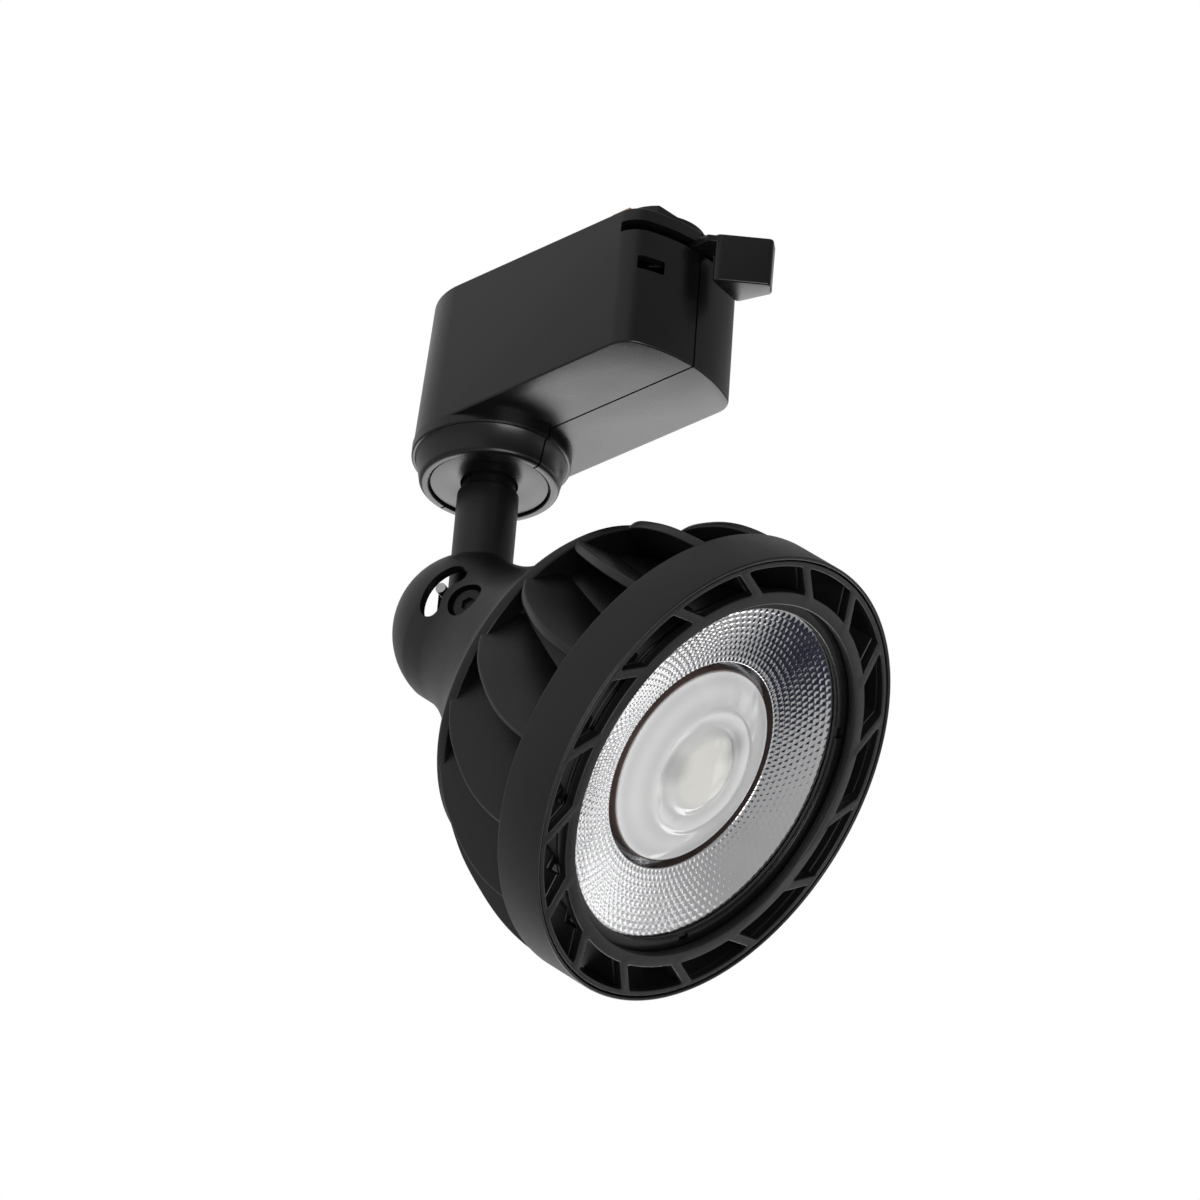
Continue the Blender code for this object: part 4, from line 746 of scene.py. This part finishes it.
def lever_slot():
    """The arc-shaped slot that the lever sweeps through."""
    inside = CASE_END - CASE_WALL - LOCK_X - 0.8
    spare = math.asin((LEVER_ARM_WIDTH / 2.0 + LEVER_SIDE_GAP) / inside)
    start = -math.radians(LEVER_TRAVEL) - spare
    centre = (LOCK_X, 0.0)
    sector = arc(centre, LEVER_SLOT_REACH, start, spare, 24)
    sector += [(LOCK_X + inside * math.cos(spare), inside * math.sin(spare)),
               (LOCK_X + inside * math.cos(start), inside * math.sin(start))]
    return prism("lever_slot", sector, LEVER_TOP_Z - LEVER_THICKNESS - LEVER_SIDE_GAP,
                 LEVER_TOP_Z + LEVER_SIDE_GAP)


def case_half(side):
    """One moulded half of the adapter's case."""
    shell = draft(rounded_prism("case", case_outline(), -CASE_HEIGHT, 0.0, CASE_EDGE))
    cut(shell, draft(prism("hollow", case_outline(CASE_WALL), CASE_WALL - CASE_HEIGHT,
                           -CASE_WALL)))
    unite(shell, boss())
    room = BOSS_RADIUS - BOSS_WALL
    floor_top = (-CASE_HEIGHT - BOSS_DROP + PLATE_INSET + PLATE_THICKNESS + GAP
                 + BOSS_FLOOR)
    cut(shell, turned("bearing", [(0.0, floor_top), (room, floor_top),
                                  (room, -CASE_HEIGHT + CASE_WALL + 1.0),
                                  (0.0, -CASE_HEIGHT + CASE_WALL + 1.0)], sides=96,
                      closed=False))
    cut(shell, rod("turret_hole", (LOCK_X, 0.0, -CASE_WALL), TURRET_NECK + GAP, 9.0, sides=96))
    cut(shell, lever_slot())
    guide_room = (2.0 * (GUIDE_HALF_LENGTH + GAP), 2.0 * (GUIDE_HALF_WIDTH + GAP),
                  2.0 * SEAT_DEPTH)
    cut(shell, block("guide_pocket", (GUIDE_X, 0.0, 0.0), guide_room),
        rod("turret_pocket", (LOCK_X, 0.0, 0.0), TURRET_RADIUS + GAP, 2.0 * SEAT_DEPTH,
            sides=96))
    if side < 0.0:
        notch = rounded_prism("notch", [(-3.0, -3.1), (3.0, -3.1), (3.0, 3.1), (-3.0, 3.1)],
                              -1.9, 1.4, 0.4)
        notch.data.transform(Matrix.Translation(NOTCH_PLACE)
                             @ Matrix.Rotation(NOTCH_TURN, 4, "Z"))
        cut(shell, notch)
    else:
        for x, z in CASE_SCREW_PLACES:
            cut(shell, rod("screw_pocket", (x, CASE_WIDTH / 2.0, z), CASE_SCREW_POCKET_RADIUS,
                           2.0 * CASE_SCREW_POCKET_DEPTH, axis="Y"))
    reach = 100.0
    return cut(shell, block("other_half", (0.0, -side * (reach / 2.0 - SEAM), 0.0),
                            (2.0 * reach, reach, reach)))


for side, label in ((-1.0, "near"), (1.0, "far")):
    finish(case_half(side), UPRIGHT, "adapter", SATIN_CASE, ("adapter_shell_" + label,)).name = "case_" + label


def pan_plate():
    bottom = -CASE_HEIGHT - BOSS_DROP + PLATE_INSET
    profile = [(NECK_RADIUS + GAP, bottom), (PLATE_RADIUS, bottom),
               (PLATE_RADIUS, bottom + PLATE_THICKNESS),
               (NECK_RADIUS + GAP, bottom + PLATE_THICKNESS)]
    plate_piece = turned("stem_plate", soften(profile, 0.3), sides=128)
    return finish(plate_piece, UPRIGHT, "adapter", SATIN_CASE, ("pan_plate",))


pan_plate()


def guide_foot():
    back = GUIDE_X - GUIDE_HALF_LENGTH
    front = GUIDE_X + GUIDE_HALF_LENGTH
    outline = soften([(back, -GUIDE_HALF_WIDTH), (front, -GUIDE_HALF_WIDTH),
                      (front, GUIDE_HALF_WIDTH), (back, GUIDE_HALF_WIDTH)], 3.0, steps=8)
    foot = rounded_prism("guide", outline, GAP - SEAT_DEPTH, GUIDE_TOP, 0.4)
    for side in (-1.0, 1.0):
        cut(foot, block("groove", (GUIDE_X, side * GUIDE_HALF_WIDTH, 2.0), (40.0, 3.0, 1.6)))
    return finish(foot, UPRIGHT, "adapter", SMOOTH_BLACK, ("guide_foot",))


guide_foot()


# ---- lock turret and lever -------------------------------------------------------------

def turret():
    """The turret: a flanged drum with two flats, a clip groove and the contacts' arms."""
    foot = GAP - SEAT_DEPTH
    profile = [(0.0, TURRET_TOP), (TURRET_RADIUS, TURRET_TOP), (TURRET_RADIUS, foot),
               (TURRET_NECK, foot), (TURRET_NECK, -5.4), (TURRET_NECK - 1.0, -5.4),
               (TURRET_NECK - 1.0, -6.9), (TURRET_NECK, -6.9),
               (TURRET_NECK, TURRET_BOTTOM), (0.0, TURRET_BOTTOM)]
    piece = turned("turret", soften(profile, 0.4, closed=False), sides=128, closed=False)
    for side in (-1.0, 1.0):
        root = side * CARRIER_ROOT
        tip = side * CARRIER_TIP
        unite(piece, rounded_prism("contact_carrier", [(-3.4, root), (3.4, root), (2.6, tip),
                                                       (-2.6, tip)], 1.2, 2.7, 0.3))
        cut(piece, block("flat", (side * (TURRET_FLAT + 5.0), 0.0, TURRET_FLAT_BOTTOM + 5.0),
                         (10.0, 30.0, 10.0)))
        cut(piece, block("seat", (0.0, side * 8.0, 3.4), (5.6, 10.0, 1.4)))
    return finish(piece, LOCK, "lock", SMOOTH_BLACK, ("lock_turret",))


turret()


def lever():
    """The lever: a hub round the turret's neck, a flat arm and a wedge-shaped thumb tab."""
    bottom = LEVER_TOP_Z - LEVER_THICKNESS
    hub = [(TURRET_NECK + GAP, LEVER_TOP_Z), (LEVER_HUB_RADIUS, LEVER_TOP_Z),
           (LEVER_HUB_RADIUS, bottom), (TURRET_NECK + GAP, bottom)]
    piece = turned("lever", soften(hub, 0.3), sides=96)
    half = LEVER_ARM_WIDTH / 2.0
    root, shoulder, tip = LEVER_ARM_OUTLINE_X
    arm = rounded_prism("arm", [(root, -half), (shoulder, -half), (tip, 0.0), (tip, half),
                                (root, half)], bottom, LEVER_TOP_Z, 0.3)
    tab = rounded_prism("tab", soften(list(TAB_OUTLINE), 1.2, steps=8),
                        LEVER_TOP_Z - TAB_HEIGHT, LEVER_TOP_Z + 0.4, 0.45)
    unite(piece, arm, tab)
    return finish(piece, LOCK, "lock", SMOOTH_BLACK, ("lock_lever",))


lever()


# ---- stem ------------------------------------------------------------------------------

def stem():
    profile = [(NECK_RADIUS, NECK_TOP_Z), (NECK_RADIUS, SHOULDER_Z),
               (STEM_RADIUS - 0.1, SHOULDER_Z), (STEM_RADIUS, SHOULDER_Z - 0.6),
               (STEM_RADIUS, STEM_BOTTOM_Z), (STEM_BORE, STEM_BOTTOM_Z),
               (STEM_BORE, NECK_TOP_Z)]
    return finish(turned("stem_tube", soften(profile, 0.3), sides=128), STEM, "stem",
                  POWDER_COAT, ("stem",))


stem()


# ---- head ------------------------------------------------------------------------------

def tail_profile():
    """Outer side of the tail: a round dome, a waist and a flare to the rear disc."""
    dome = [(TAIL_RADIUS * math.sin(math.radians(a)), -TAIL_RADIUS * math.cos(math.radians(a)))
            for a in range(0, 79, 3)]
    steps = 28
    flare = []
    for step in range(1, steps + 1):
        t = step / steps
        flare.append((TAIL_WAIST + (DISC_RADIUS - 0.9 - TAIL_WAIST) * t ** 1.75,
                      (DISC_A - 1.5) * t))
    return dome + flare


def kidney_outline():
    """The curved travel slot: an arc round the pivot with half-round ends."""
    pivot = (-PIVOT_ABOVE, PIVOT_FORWARD)
    spare = math.asin(KIDNEY_WIDTH / 2.0 / KIDNEY_RADIUS) - math.asin(1.5 / KIDNEY_RADIUS)
    start = math.radians(270.0 - TILT_UP) + spare
    end = math.radians(270.0 + TILT_DOWN) - spare
    half = KIDNEY_WIDTH / 2.0
    points = arc(pivot, KIDNEY_RADIUS + half, start, end, 20)
    tip = arc(pivot, KIDNEY_RADIUS, end, end, 1)[0]
    points += arc(tip, half, end, end + math.pi, 16)[1:-1]
    points += arc(pivot, KIDNEY_RADIUS - half, end, start, 20)
    tip = arc(pivot, KIDNEY_RADIUS, start, start, 1)[0]
    points += arc(tip, half, start + math.pi, start + 2.0 * math.pi, 16)[1:-1]
    return points


def stem_slot():
    """The slot in the tail that the stem swings through."""
    half = STEM_RADIUS + STEM_SLOT_GAP
    reach = 1.7 * TAIL_RADIUS
    tilt = math.asin(-LIGHT.z)
    aside = PIVOT_FORWARD * math.cos(tilt) + PIVOT_ABOVE * math.sin(tilt)
    pivot = Vector((-PIVOT_ABOVE, PIVOT_FORWARD))

    def edge(turn, offset, distance):
        along = Vector((math.cos(turn), math.sin(turn)))
        across = Vector((-along.y, along.x))
        return tuple(pivot + across * offset + along * distance)

    upright = math.pi + tilt
    first = upright - math.radians(TILT_UP + 1.0)
    last = upright + math.radians(TILT_DOWN + 1.0)
    points = [edge(first, aside - half, 0.0), edge(first, aside - half, reach)]
    for step in range(1, 12):
        points.append(edge(first + (last - first) * step / 12.0, aside, 1.4 * reach))
    points += [edge(last, aside + half, reach), edge(last, aside + half, 0.0)]
    return prism("stem_slot", points, -half, half, axis="Y")


def head_casting():
    """Tail, rear disc and core of the cast head."""
    disc_front = DISC_A + DISC_THICKNESS
    outer = tail_profile()
    rest = [(DISC_RADIUS, DISC_A - 0.5), (DISC_RADIUS, disc_front),
            (CORE_REAR_RADIUS, disc_front), (CORE_REAR_RADIUS, PLATFORM_BACK),
            (CORE_FRONT_RADIUS, CORE_FRONT_A), (CORE_FRONT_RADIUS - CORE_WALL, CORE_FRONT_A),
            (CORE_REAR_RADIUS - CORE_WALL, PLATFORM_FRONT), (0.0, PLATFORM_FRONT)]
    profile = outer + soften([outer[-1]] + rest, 0.5, closed=False)[1:]
    body = turned("head_casting", profile, sides=192, closed=False)
    inner = [(0.0, TAIL_WALL - TAIL_RADIUS)]
    inner += [(radius - TAIL_WALL, along) for radius, along in tail_profile()[4:-1]]
    inner += [(CORE_REAR_RADIUS - CORE_WALL - 1.0, PLATFORM_BACK - 1.0), (0.0, PLATFORM_BACK)]
    cut(body, turned("tail_hollow", inner, sides=96, closed=False))
    pivot = Vector((-PIVOT_ABOVE, 0.0, PIVOT_FORWARD))
    length = TAIL_WAIST - 1.5 - CHEEK_INNER
    for side in (-1.0, 1.0):
        cheek_middle = pivot + Vector((0.0, side * (CHEEK_INNER + length / 2.0), 0.0))
        unite(body, rod("cheek", cheek_middle, CHEEK_RADIUS, length, axis="Y"))
        cut(body, rod("recess", pivot + Vector((0.0, side * (PIVOT_SEAT + 5.0), 0.0)),
                      RECESS_RADIUS, 10.0, axis="Y", sides=64))
    cut(body, rod("bore", pivot, PIVOT_BORE, 60.0, axis="Y"))
    cut(body, prism("kidney", kidney_outline(), -30.0, 0.0, axis="Y"))
    cut(body, stem_slot())
    return finish(body, HEAD, "head", POWDER_COAT, ("heat_sink",))


head_casting()


def fin_edge():
    """The fins' outer edge as (radius, along): a smooth dome from the disc to the band."""
    knots = [(DISC_RADIUS - 0.4, DISC_A + 0.4), (42.4, 37.0), (45.6, 43.5), (47.8, 49.0),
             (49.2, 54.0), (50.0, 59.0), (BAND_RADIUS - 0.6, BAND_REAR_A + 1.0)]
    steps = 4
    points = []
    for k in range(len(knots) - 1):
        before = Vector(knots[max(k - 1, 0)])
        here = Vector(knots[k])
        there = Vector(knots[k + 1])
        after = Vector(knots[min(k + 2, len(knots) - 1)])
        for step in range(steps):
            t = step / steps
            points.append(0.5 * (2 * here + (there - before) * t
                                 + (2 * before - 5 * here + 4 * there - after) * t * t
                                 + (3 * here - before - 3 * there + after) * t ** 3))
    points.append(Vector(knots[-1]))
    return points


def fins():
    """One leaning fin with a rounded edge, repeated round the light's axis."""
    front = GRILLE_BACK_A - GAP
    outline = [tuple(point) for point in fin_edge()]
    outline += [(BAND_RADIUS - BAND_WALL / 2.0, front), (CORE_FRONT_RADIUS + 1.3, front),
                (CORE_FRONT_RADIUS + 1.3, CORE_FRONT_A - 0.8),
                (CORE_FRONT_RADIUS - 0.8, CORE_FRONT_A - 0.8),
                (CORE_REAR_RADIUS - 0.8, PLATFORM_BACK), (CORE_REAR_RADIUS - 0.8, DISC_A + 0.8)]
    flat = [(math.sqrt(radius ** 2 - FIN_OFFSET ** 2), along) for radius, along in outline]
    piece = rounded_prism("cooling_fins", flat, FIN_OFFSET - FIN_THICKNESS / 2.0,
                          FIN_OFFSET + FIN_THICKNESS / 2.0, 0.55, axis="Y")
    mirror = Matrix.Scale(-1.0, 4, (0.0, 1.0, 0.0))
    piece.data.transform(Matrix.Rotation(math.pi - FIN_TURN, 4, "Z") @ mirror)
    piece.data.flip_normals()
    repeat_round(piece, FIN_COUNT, POWDER_COAT)
    return finish(piece, HEAD, "head", POWDER_COAT, ("heat_sink",))


fins()


def front_band():
    outer = BAND_RADIUS
    front = GRILLE_BACK_A - GAP
    profile = [(outer, BAND_FRONT_A), (outer, BAND_REAR_A), (outer - BAND_WALL, BAND_REAR_A),
               (outer - BAND_WALL, front), (outer - BAND_LIP, front),
               (outer - BAND_LIP, BAND_FRONT_A)]
    piece = turned("front_band", soften(profile, 0.5, steps=4), sides=256)
    return finish(piece, HEAD, "head", POWDER_COAT, ("heat_sink",))


front_band()


def grille():
    """The slotted front ring; its spokes line up with the fins behind it."""
    rim = BAND_RADIUS - BAND_LIP - GAP

    def spoke_point(number, radius, offset):
        angle = FIN_TURN + 2.0 * math.pi * number / FIN_COUNT
        aside = FIN_OFFSET + offset
        reach = math.sqrt(radius ** 2 - aside ** 2)
        up = reach * math.cos(angle) - aside * math.sin(angle)
        side = reach * math.sin(angle) + aside * math.cos(angle)
        return -up, side

    def bend(number, radius):
        first = spoke_point(number, radius, FIN_THICKNESS / 2.0)
        last = spoke_point(number + 1, radius, -FIN_THICKNESS / 2.0)
        start = math.atan2(first[1], first[0])
        end = math.atan2(last[1], last[0])
        sweep = (end - start + math.pi) % (2.0 * math.pi) - math.pi
        return arc((0.0, 0.0), radius, start, start + sweep, 8)

    holes = []
    for number in range(FIN_COUNT):
        outline = bend(number, SLOT_OUTER) + list(reversed(bend(number, SLOT_INNER)))
        holes.append(soften(outline, 0.9, steps=4))
    outer = arc((0.0, 0.0), rim, 0.0, 2.0 * math.pi, 256)[:-1]
    holes.append(arc((0.0, 0.0), GRILLE_BORE, 0.0, 2.0 * math.pi, 192)[:-1])
    piece = plate("grille", outer, holes, GRILLE_THICKNESS - GRILLE_CROWN, 0.3)
    for vertex in piece.data.vertices:
        radius = math.hypot(vertex.co.x, vertex.co.y)
        share = (rim - radius) / (rim - GRILLE_BORE)
        vertex.co.z += GRILLE_BACK_A + (GRILLE_THICKNESS - GRILLE_CROWN) / 2.0
        if vertex.co.z > GRILLE_BACK_A + 0.8:
            vertex.co.z += GRILLE_CROWN * share
    return finish(piece, HEAD, "head", POWDER_COAT, ("front_grille",))


grille()


def retaining_ring():
    top = GRILLE_BACK_A - GAP
    profile = [(RING_BORE, RING_BACK_A), (RING_BORE, top), (CORE_FRONT_RADIUS, top),
               (CORE_FRONT_RADIUS, CORE_FRONT_A + GAP),
               (RING_FOOT_RADIUS, CORE_FRONT_A + GAP), (RING_FOOT_RADIUS, RING_BACK_A)]
    piece = turned("clamp_ring", soften(profile, 0.22), sides=192)
    for angle in RING_NOTCH_ANGLES:
        notch = block("notch", (RING_BORE + 0.5, 0.0, top), (1.8, 2.6, 1.5))
        notch.data.transform(Matrix.Rotation(math.radians(angle), 4, "Z"))
        cut(piece, notch)
    return finish(piece, HEAD, "head", SMOOTH_BLACK, ("retaining_ring",))


retaining_ring()


# ---- optics ----------------------------------------------------------------------------

def reflector():
    """A bright bowl: cone, straight well, and a flare covered with small convex facets."""
    sides = 720
    facets = 120
    rows = 10
    per_row = 6
    swell = 0.085
    shape = bmesh.new()
    profile = []
    for step in range(13):
        t = step / 12.0
        profile.append((REFLECTOR_FOOT + (FLARE_INNER - REFLECTOR_FOOT) * t,
                        REFLECTOR_FOOT_A + (WELL_FLOOR_A - REFLECTOR_FOOT_A) * t ** 1.2, 0.0))
    profile.append((FLARE_INNER, FLARE_INNER_A - 0.3, 0.0))
    outer_radius = REFLECTOR_RIM - 1.4
    for step in range(rows * per_row + 1):
        t = step / (rows * per_row)
        profile.append((FLARE_INNER + 0.1 + (outer_radius - FLARE_INNER) * t,
                        FLARE_INNER_A + (FLARE_RIM_A - FLARE_INNER_A) * t ** 1.25, t * rows))
    profile.append((REFLECTOR_RIM, FLARE_RIM_A, 0.0))
    profile.append((REFLECTOR_RIM, FLARE_RIM_A - 1.0, 0.0))
    profile.append((FLARE_INNER + 1.6, FLARE_INNER_A - 1.2, 0.0))
    profile.append((FLARE_INNER + 0.9, WELL_FLOOR_A - 1.0, 0.0))
    profile.append((REFLECTOR_FOOT + 1.2, REFLECTOR_FOOT_A, 0.0))
    rings = []
    for radius, along, row in profile:
        ring = []
        for k in range(sides):
            angle = 2.0 * math.pi * k / sides
            lift = 0.0
            if 0.0 < row < rows:
                shift = 0.5 * (int(row) % 2)
                u = (k * facets / sides + shift) % 1.0 - 0.5
                v = row % 1.0 - 0.5
                lift = swell * math.cos(math.pi * u) * math.cos(math.pi * v)
            ring.append(shape.verts.new((radius * math.cos(angle), radius * math.sin(angle),
                                         along + lift)))
        rings.append(ring)
    for index, first in enumerate(rings):
        second = rings[(index + 1) % len(rings)]
        for k in range(sides):
            n = (k + 1) % sides
            shape.faces.new((first[k], first[n], second[n], second[k]))
    return finish(from_bmesh("bright_bowl", shape), HEAD, "head", BRIGHT_METALLISED,
                  ("reflector",), angle=60.0)


reflector()


def lens_face():
    """The lens's domed face as (radius, along), with a raised ring round its middle."""
    points = []
    steps = 60
    for step in range(steps):
        radius = LENS_RADIUS * step / steps
        share = radius / LENS_RADIUS
        along = LENS_EDGE_A + LENS_CROWN * (1.0 - share ** 2)
        ring_radius, ring_height, ring_width = LENS_RING
        along += ring_height * math.exp(-((radius - ring_radius) / ring_width) ** 2)
        groove_radius, groove_depth, groove_width = LENS_GROOVE
        along -= groove_depth * math.exp(-((radius - groove_radius) / groove_width) ** 2)
        points.append((radius, along))
    return points


def centre_lens():
    """The solid lens, and a thin dark collar round its side: painted shade where the lens's edge lies in
    shadow.
    """
    face = lens_face()
    rest = [(LENS_RADIUS, LENS_EDGE_A), (LENS_RADIUS, LENS_SHOULDER_A),
            (LENS_FOOT, REFLECTOR_FOOT_A + GAP), (0.0, REFLECTOR_FOOT_A + GAP)]
    profile = face + soften([face[-1]] + rest, 0.35, closed=False)[1:]
    piece = turned("milky_lens", profile, sides=160, closed=False)
    finish(piece, HEAD, "head", MILKY_LENS, ("centre_lens",))
    inner = LENS_RADIUS + 0.05
    outer = inner + LENS_COLLAR_WIDTH
    top = LENS_EDGE_A - 0.35
    collar = [(inner, top), (outer, top), (outer, LENS_SHOULDER_A), (inner, LENS_SHOULDER_A)]
    # Painted shade: the thin dark collar round the lens's side.
    finish(turned("painted_shade_collar", soften(collar, 0.1), sides=160), HEAD, "head", LENS_SIDE_PAINTED_SHADE, ())


centre_lens()


def pivot_screw():
    """The tilt screw, its head on the near side with a hexagon socket."""
    pivot = Vector((-PIVOT_ABOVE, 0.0, PIVOT_FORWARD))
    seat = PIVOT_SEAT + GAP
    turn = Matrix.Translation(pivot) @ Matrix.Rotation(math.radians(90.0), 4, "X")
    head_top = seat + SCREW_HEAD_HEIGHT
    tip = -PIVOT_SEAT - SCREW_PAST_NUT
    profile = [(0.0, head_top), (SCREW_HEAD_RADIUS, head_top), (SCREW_HEAD_RADIUS, seat),
               (SCREW_RADIUS, seat), (SCREW_RADIUS, tip), (0.0, tip)]
    screw = turned("tilt_screw", soften(profile, 0.35, closed=False), sides=64, closed=False)
    cut(screw, rod("socket", (0.0, 0.0, head_top), SOCKET_RADIUS, 2.0 * SOCKET_DEPTH, sides=6))
    screw.data.transform(turn)
    finish(screw, HEAD, "head", BLACKED_STEEL, ("pivot_screw",))


pivot_screw()


# ---- stage, light and camera -----------------------------------------------------------

CAMERA_TARGET = Vector((37.0, 0.0, -83.55)) * MM
CAMERA_BACK = Vector((0.6170, -0.5992, -0.5101)).normalized()
CAMERA_DISTANCE = 2182.4 * MM
CAMERA_ROLL = math.radians(4.96)
CAMERA_LENS = 312.03


def camera():
    forward = -CAMERA_BACK
    right = forward.cross(Vector((0.0, 0.0, 1.0))).normalized()
    up = right.cross(forward)
    rolled_right = right * math.cos(CAMERA_ROLL) + up * math.sin(CAMERA_ROLL)
    rolled_up = up * math.cos(CAMERA_ROLL) - right * math.sin(CAMERA_ROLL)
    data = bpy.data.cameras.new("camera")
    data.lens = CAMERA_LENS
    data.sensor_width = 36.0
    data.clip_end = 60.0
    item = bpy.data.objects.new("camera", data)
    bpy.context.scene.collection.objects.link(item)
    place = Matrix.Identity(4)
    for column, axis in enumerate((rolled_right, rolled_up, -forward)):
        place.col[column][:3] = axis
    place.translation = CAMERA_TARGET + CAMERA_BACK * CAMERA_DISTANCE
    item.matrix_world = place
    bpy.context.scene.camera = item


camera()


def stage_card(name, size, colour, roughness):
    """A flat square that belongs to the studio."""
    shape = bmesh.new()
    bmesh.ops.create_grid(shape, x_segments=1, y_segments=1, size=size)
    item = from_bmesh(name, shape)
    material = bpy.data.materials.new(name)
    material.use_nodes = True
    shader = material.node_tree.nodes["Principled BSDF"]
    shader.inputs["Base Color"].default_value = (*colour, 1.0)
    shader.inputs["Roughness"].default_value = roughness
    item.data.materials.append(material)
    return item


FLOOR_Z = -1.6
stage_card("floor", 9.0, (0.86, 0.86, 0.86), 0.8).location.z = FLOOR_Z


def world():
    """White round the camera's view; for reflections a studio: pale floor, dark far room."""
    studio = bpy.data.worlds.new("studio")
    studio.use_nodes = True
    nodes, links = studio.node_tree.nodes, studio.node_tree.links
    background = nodes["Background"]
    place = nodes.new("ShaderNodeTexCoord")

    def facing(direction, start, end, low, high):
        """A value that goes from low to high as a direction turns towards another."""
        dot = nodes.new("ShaderNodeVectorMath")
        dot.operation = "DOT_PRODUCT"
        dot.inputs[1].default_value = Vector(direction).normalized()
        ramp = nodes.new("ShaderNodeMapRange")
        ramp.interpolation_type = "SMOOTHSTEP"
        for socket, value in (("From Min", start), ("From Max", end), ("To Min", low),
                              ("To Max", high)):
            ramp.inputs[socket].default_value = value
        links.new(place.outputs["Generated"], dot.inputs[0])
        links.new(dot.outputs["Value"], ramp.inputs["Value"])
        return ramp.outputs["Result"]

    def combine(operation, first, second):
        step = nodes.new("ShaderNodeMath")
        step.operation = operation
        for socket, value in zip(step.inputs, (first, second)):
            if isinstance(value, float):
                socket.default_value = value
            else:
                links.new(value, socket)
        return step.outputs[0]

    upper = facing((-0.75, -0.60, 0.25), -0.15, 0.45, 0.22, 0.55)
    lower = facing((0.0, 0.0, -1.0), 0.25, 0.65, 0.0, 1.2)
    clutter = nodes.new("ShaderNodeTexNoise")
    clutter.inputs["Scale"].default_value = 7.0
    clutter.inputs["Detail"].default_value = 3.0
    links.new(place.outputs["Generated"], clutter.inputs["Vector"])
    patches = nodes.new("ShaderNodeMapRange")
    patches.inputs["From Min"].default_value = 0.46
    patches.inputs["From Max"].default_value = 0.56
    patches.inputs["To Min"].default_value = 0.05
    patches.inputs["To Max"].default_value = 1.5
    links.new(clutter.outputs["Fac"], patches.inputs["Value"])
    room = facing((-0.15, 0.95, -0.15), 0.62, 0.86, 0.0, 1.0)
    screen = facing((0.72, 0.62, -0.32), 0.90, 0.97, 0.0, 1.0)
    level = combine("MAXIMUM", upper, lower)
    outside = combine("MULTIPLY", level, combine("SUBTRACT", 1.0, room))
    level = combine("ADD", outside, combine("MULTIPLY", patches.outputs["Result"], room))
    level = combine("MAXIMUM", level, screen)
    seen = nodes.new("ShaderNodeLightPath")
    level = combine("MAXIMUM", level, seen.outputs["Is Camera Ray"])
    links.new(level, background.inputs["Strength"])
    background.inputs["Color"].default_value = (1.0, 1.0, 1.0, 1.0)
    bpy.context.scene.world = studio


world()


def lamp(name, place, target, size, watts):
    data = bpy.data.lights.new(name, "AREA")
    data.shape = "RECTANGLE"
    data.size, data.size_y = size
    data.energy = watts
    item = bpy.data.objects.new(name, data)
    bpy.context.scene.collection.objects.link(item)
    aim = (Vector(target) - Vector(place)).normalized()
    item.matrix_world = (Matrix.Translation(place)
                         @ aim.to_track_quat("-Z", "Y").to_matrix().to_4x4())


def studio_flag():
    """A dark card that only the bright metal sees, for the contrast in its facets."""
    item = stage_card("studio_flag", 0.5, (0.012, 0.014, 0.035), 0.9)
    towards = Vector((0.10, 0.85, -0.48)).normalized()
    item.matrix_world = (Matrix.Translation(middle("reflector") + towards)
                         @ towards.to_track_quat("Z", "Y").to_matrix().to_4x4()
                         @ Matrix.Diagonal((0.56, 0.40, 1.0, 1.0)))
    item.visible_camera = False
    item.visible_diffuse = False
    item.visible_shadow = False


studio_flag()
lamp("under_light", (-1.1, 1.5, -1.2), (0.03, 0.0, -0.05), (2.2, 2.2), 46.0)
lamp("front_light", (1.25, -0.45, -1.05), (0.07, 0.02, -0.10), (0.9, 0.9), 12.0)
bpy.context.scene.view_settings.view_transform = "Standard"
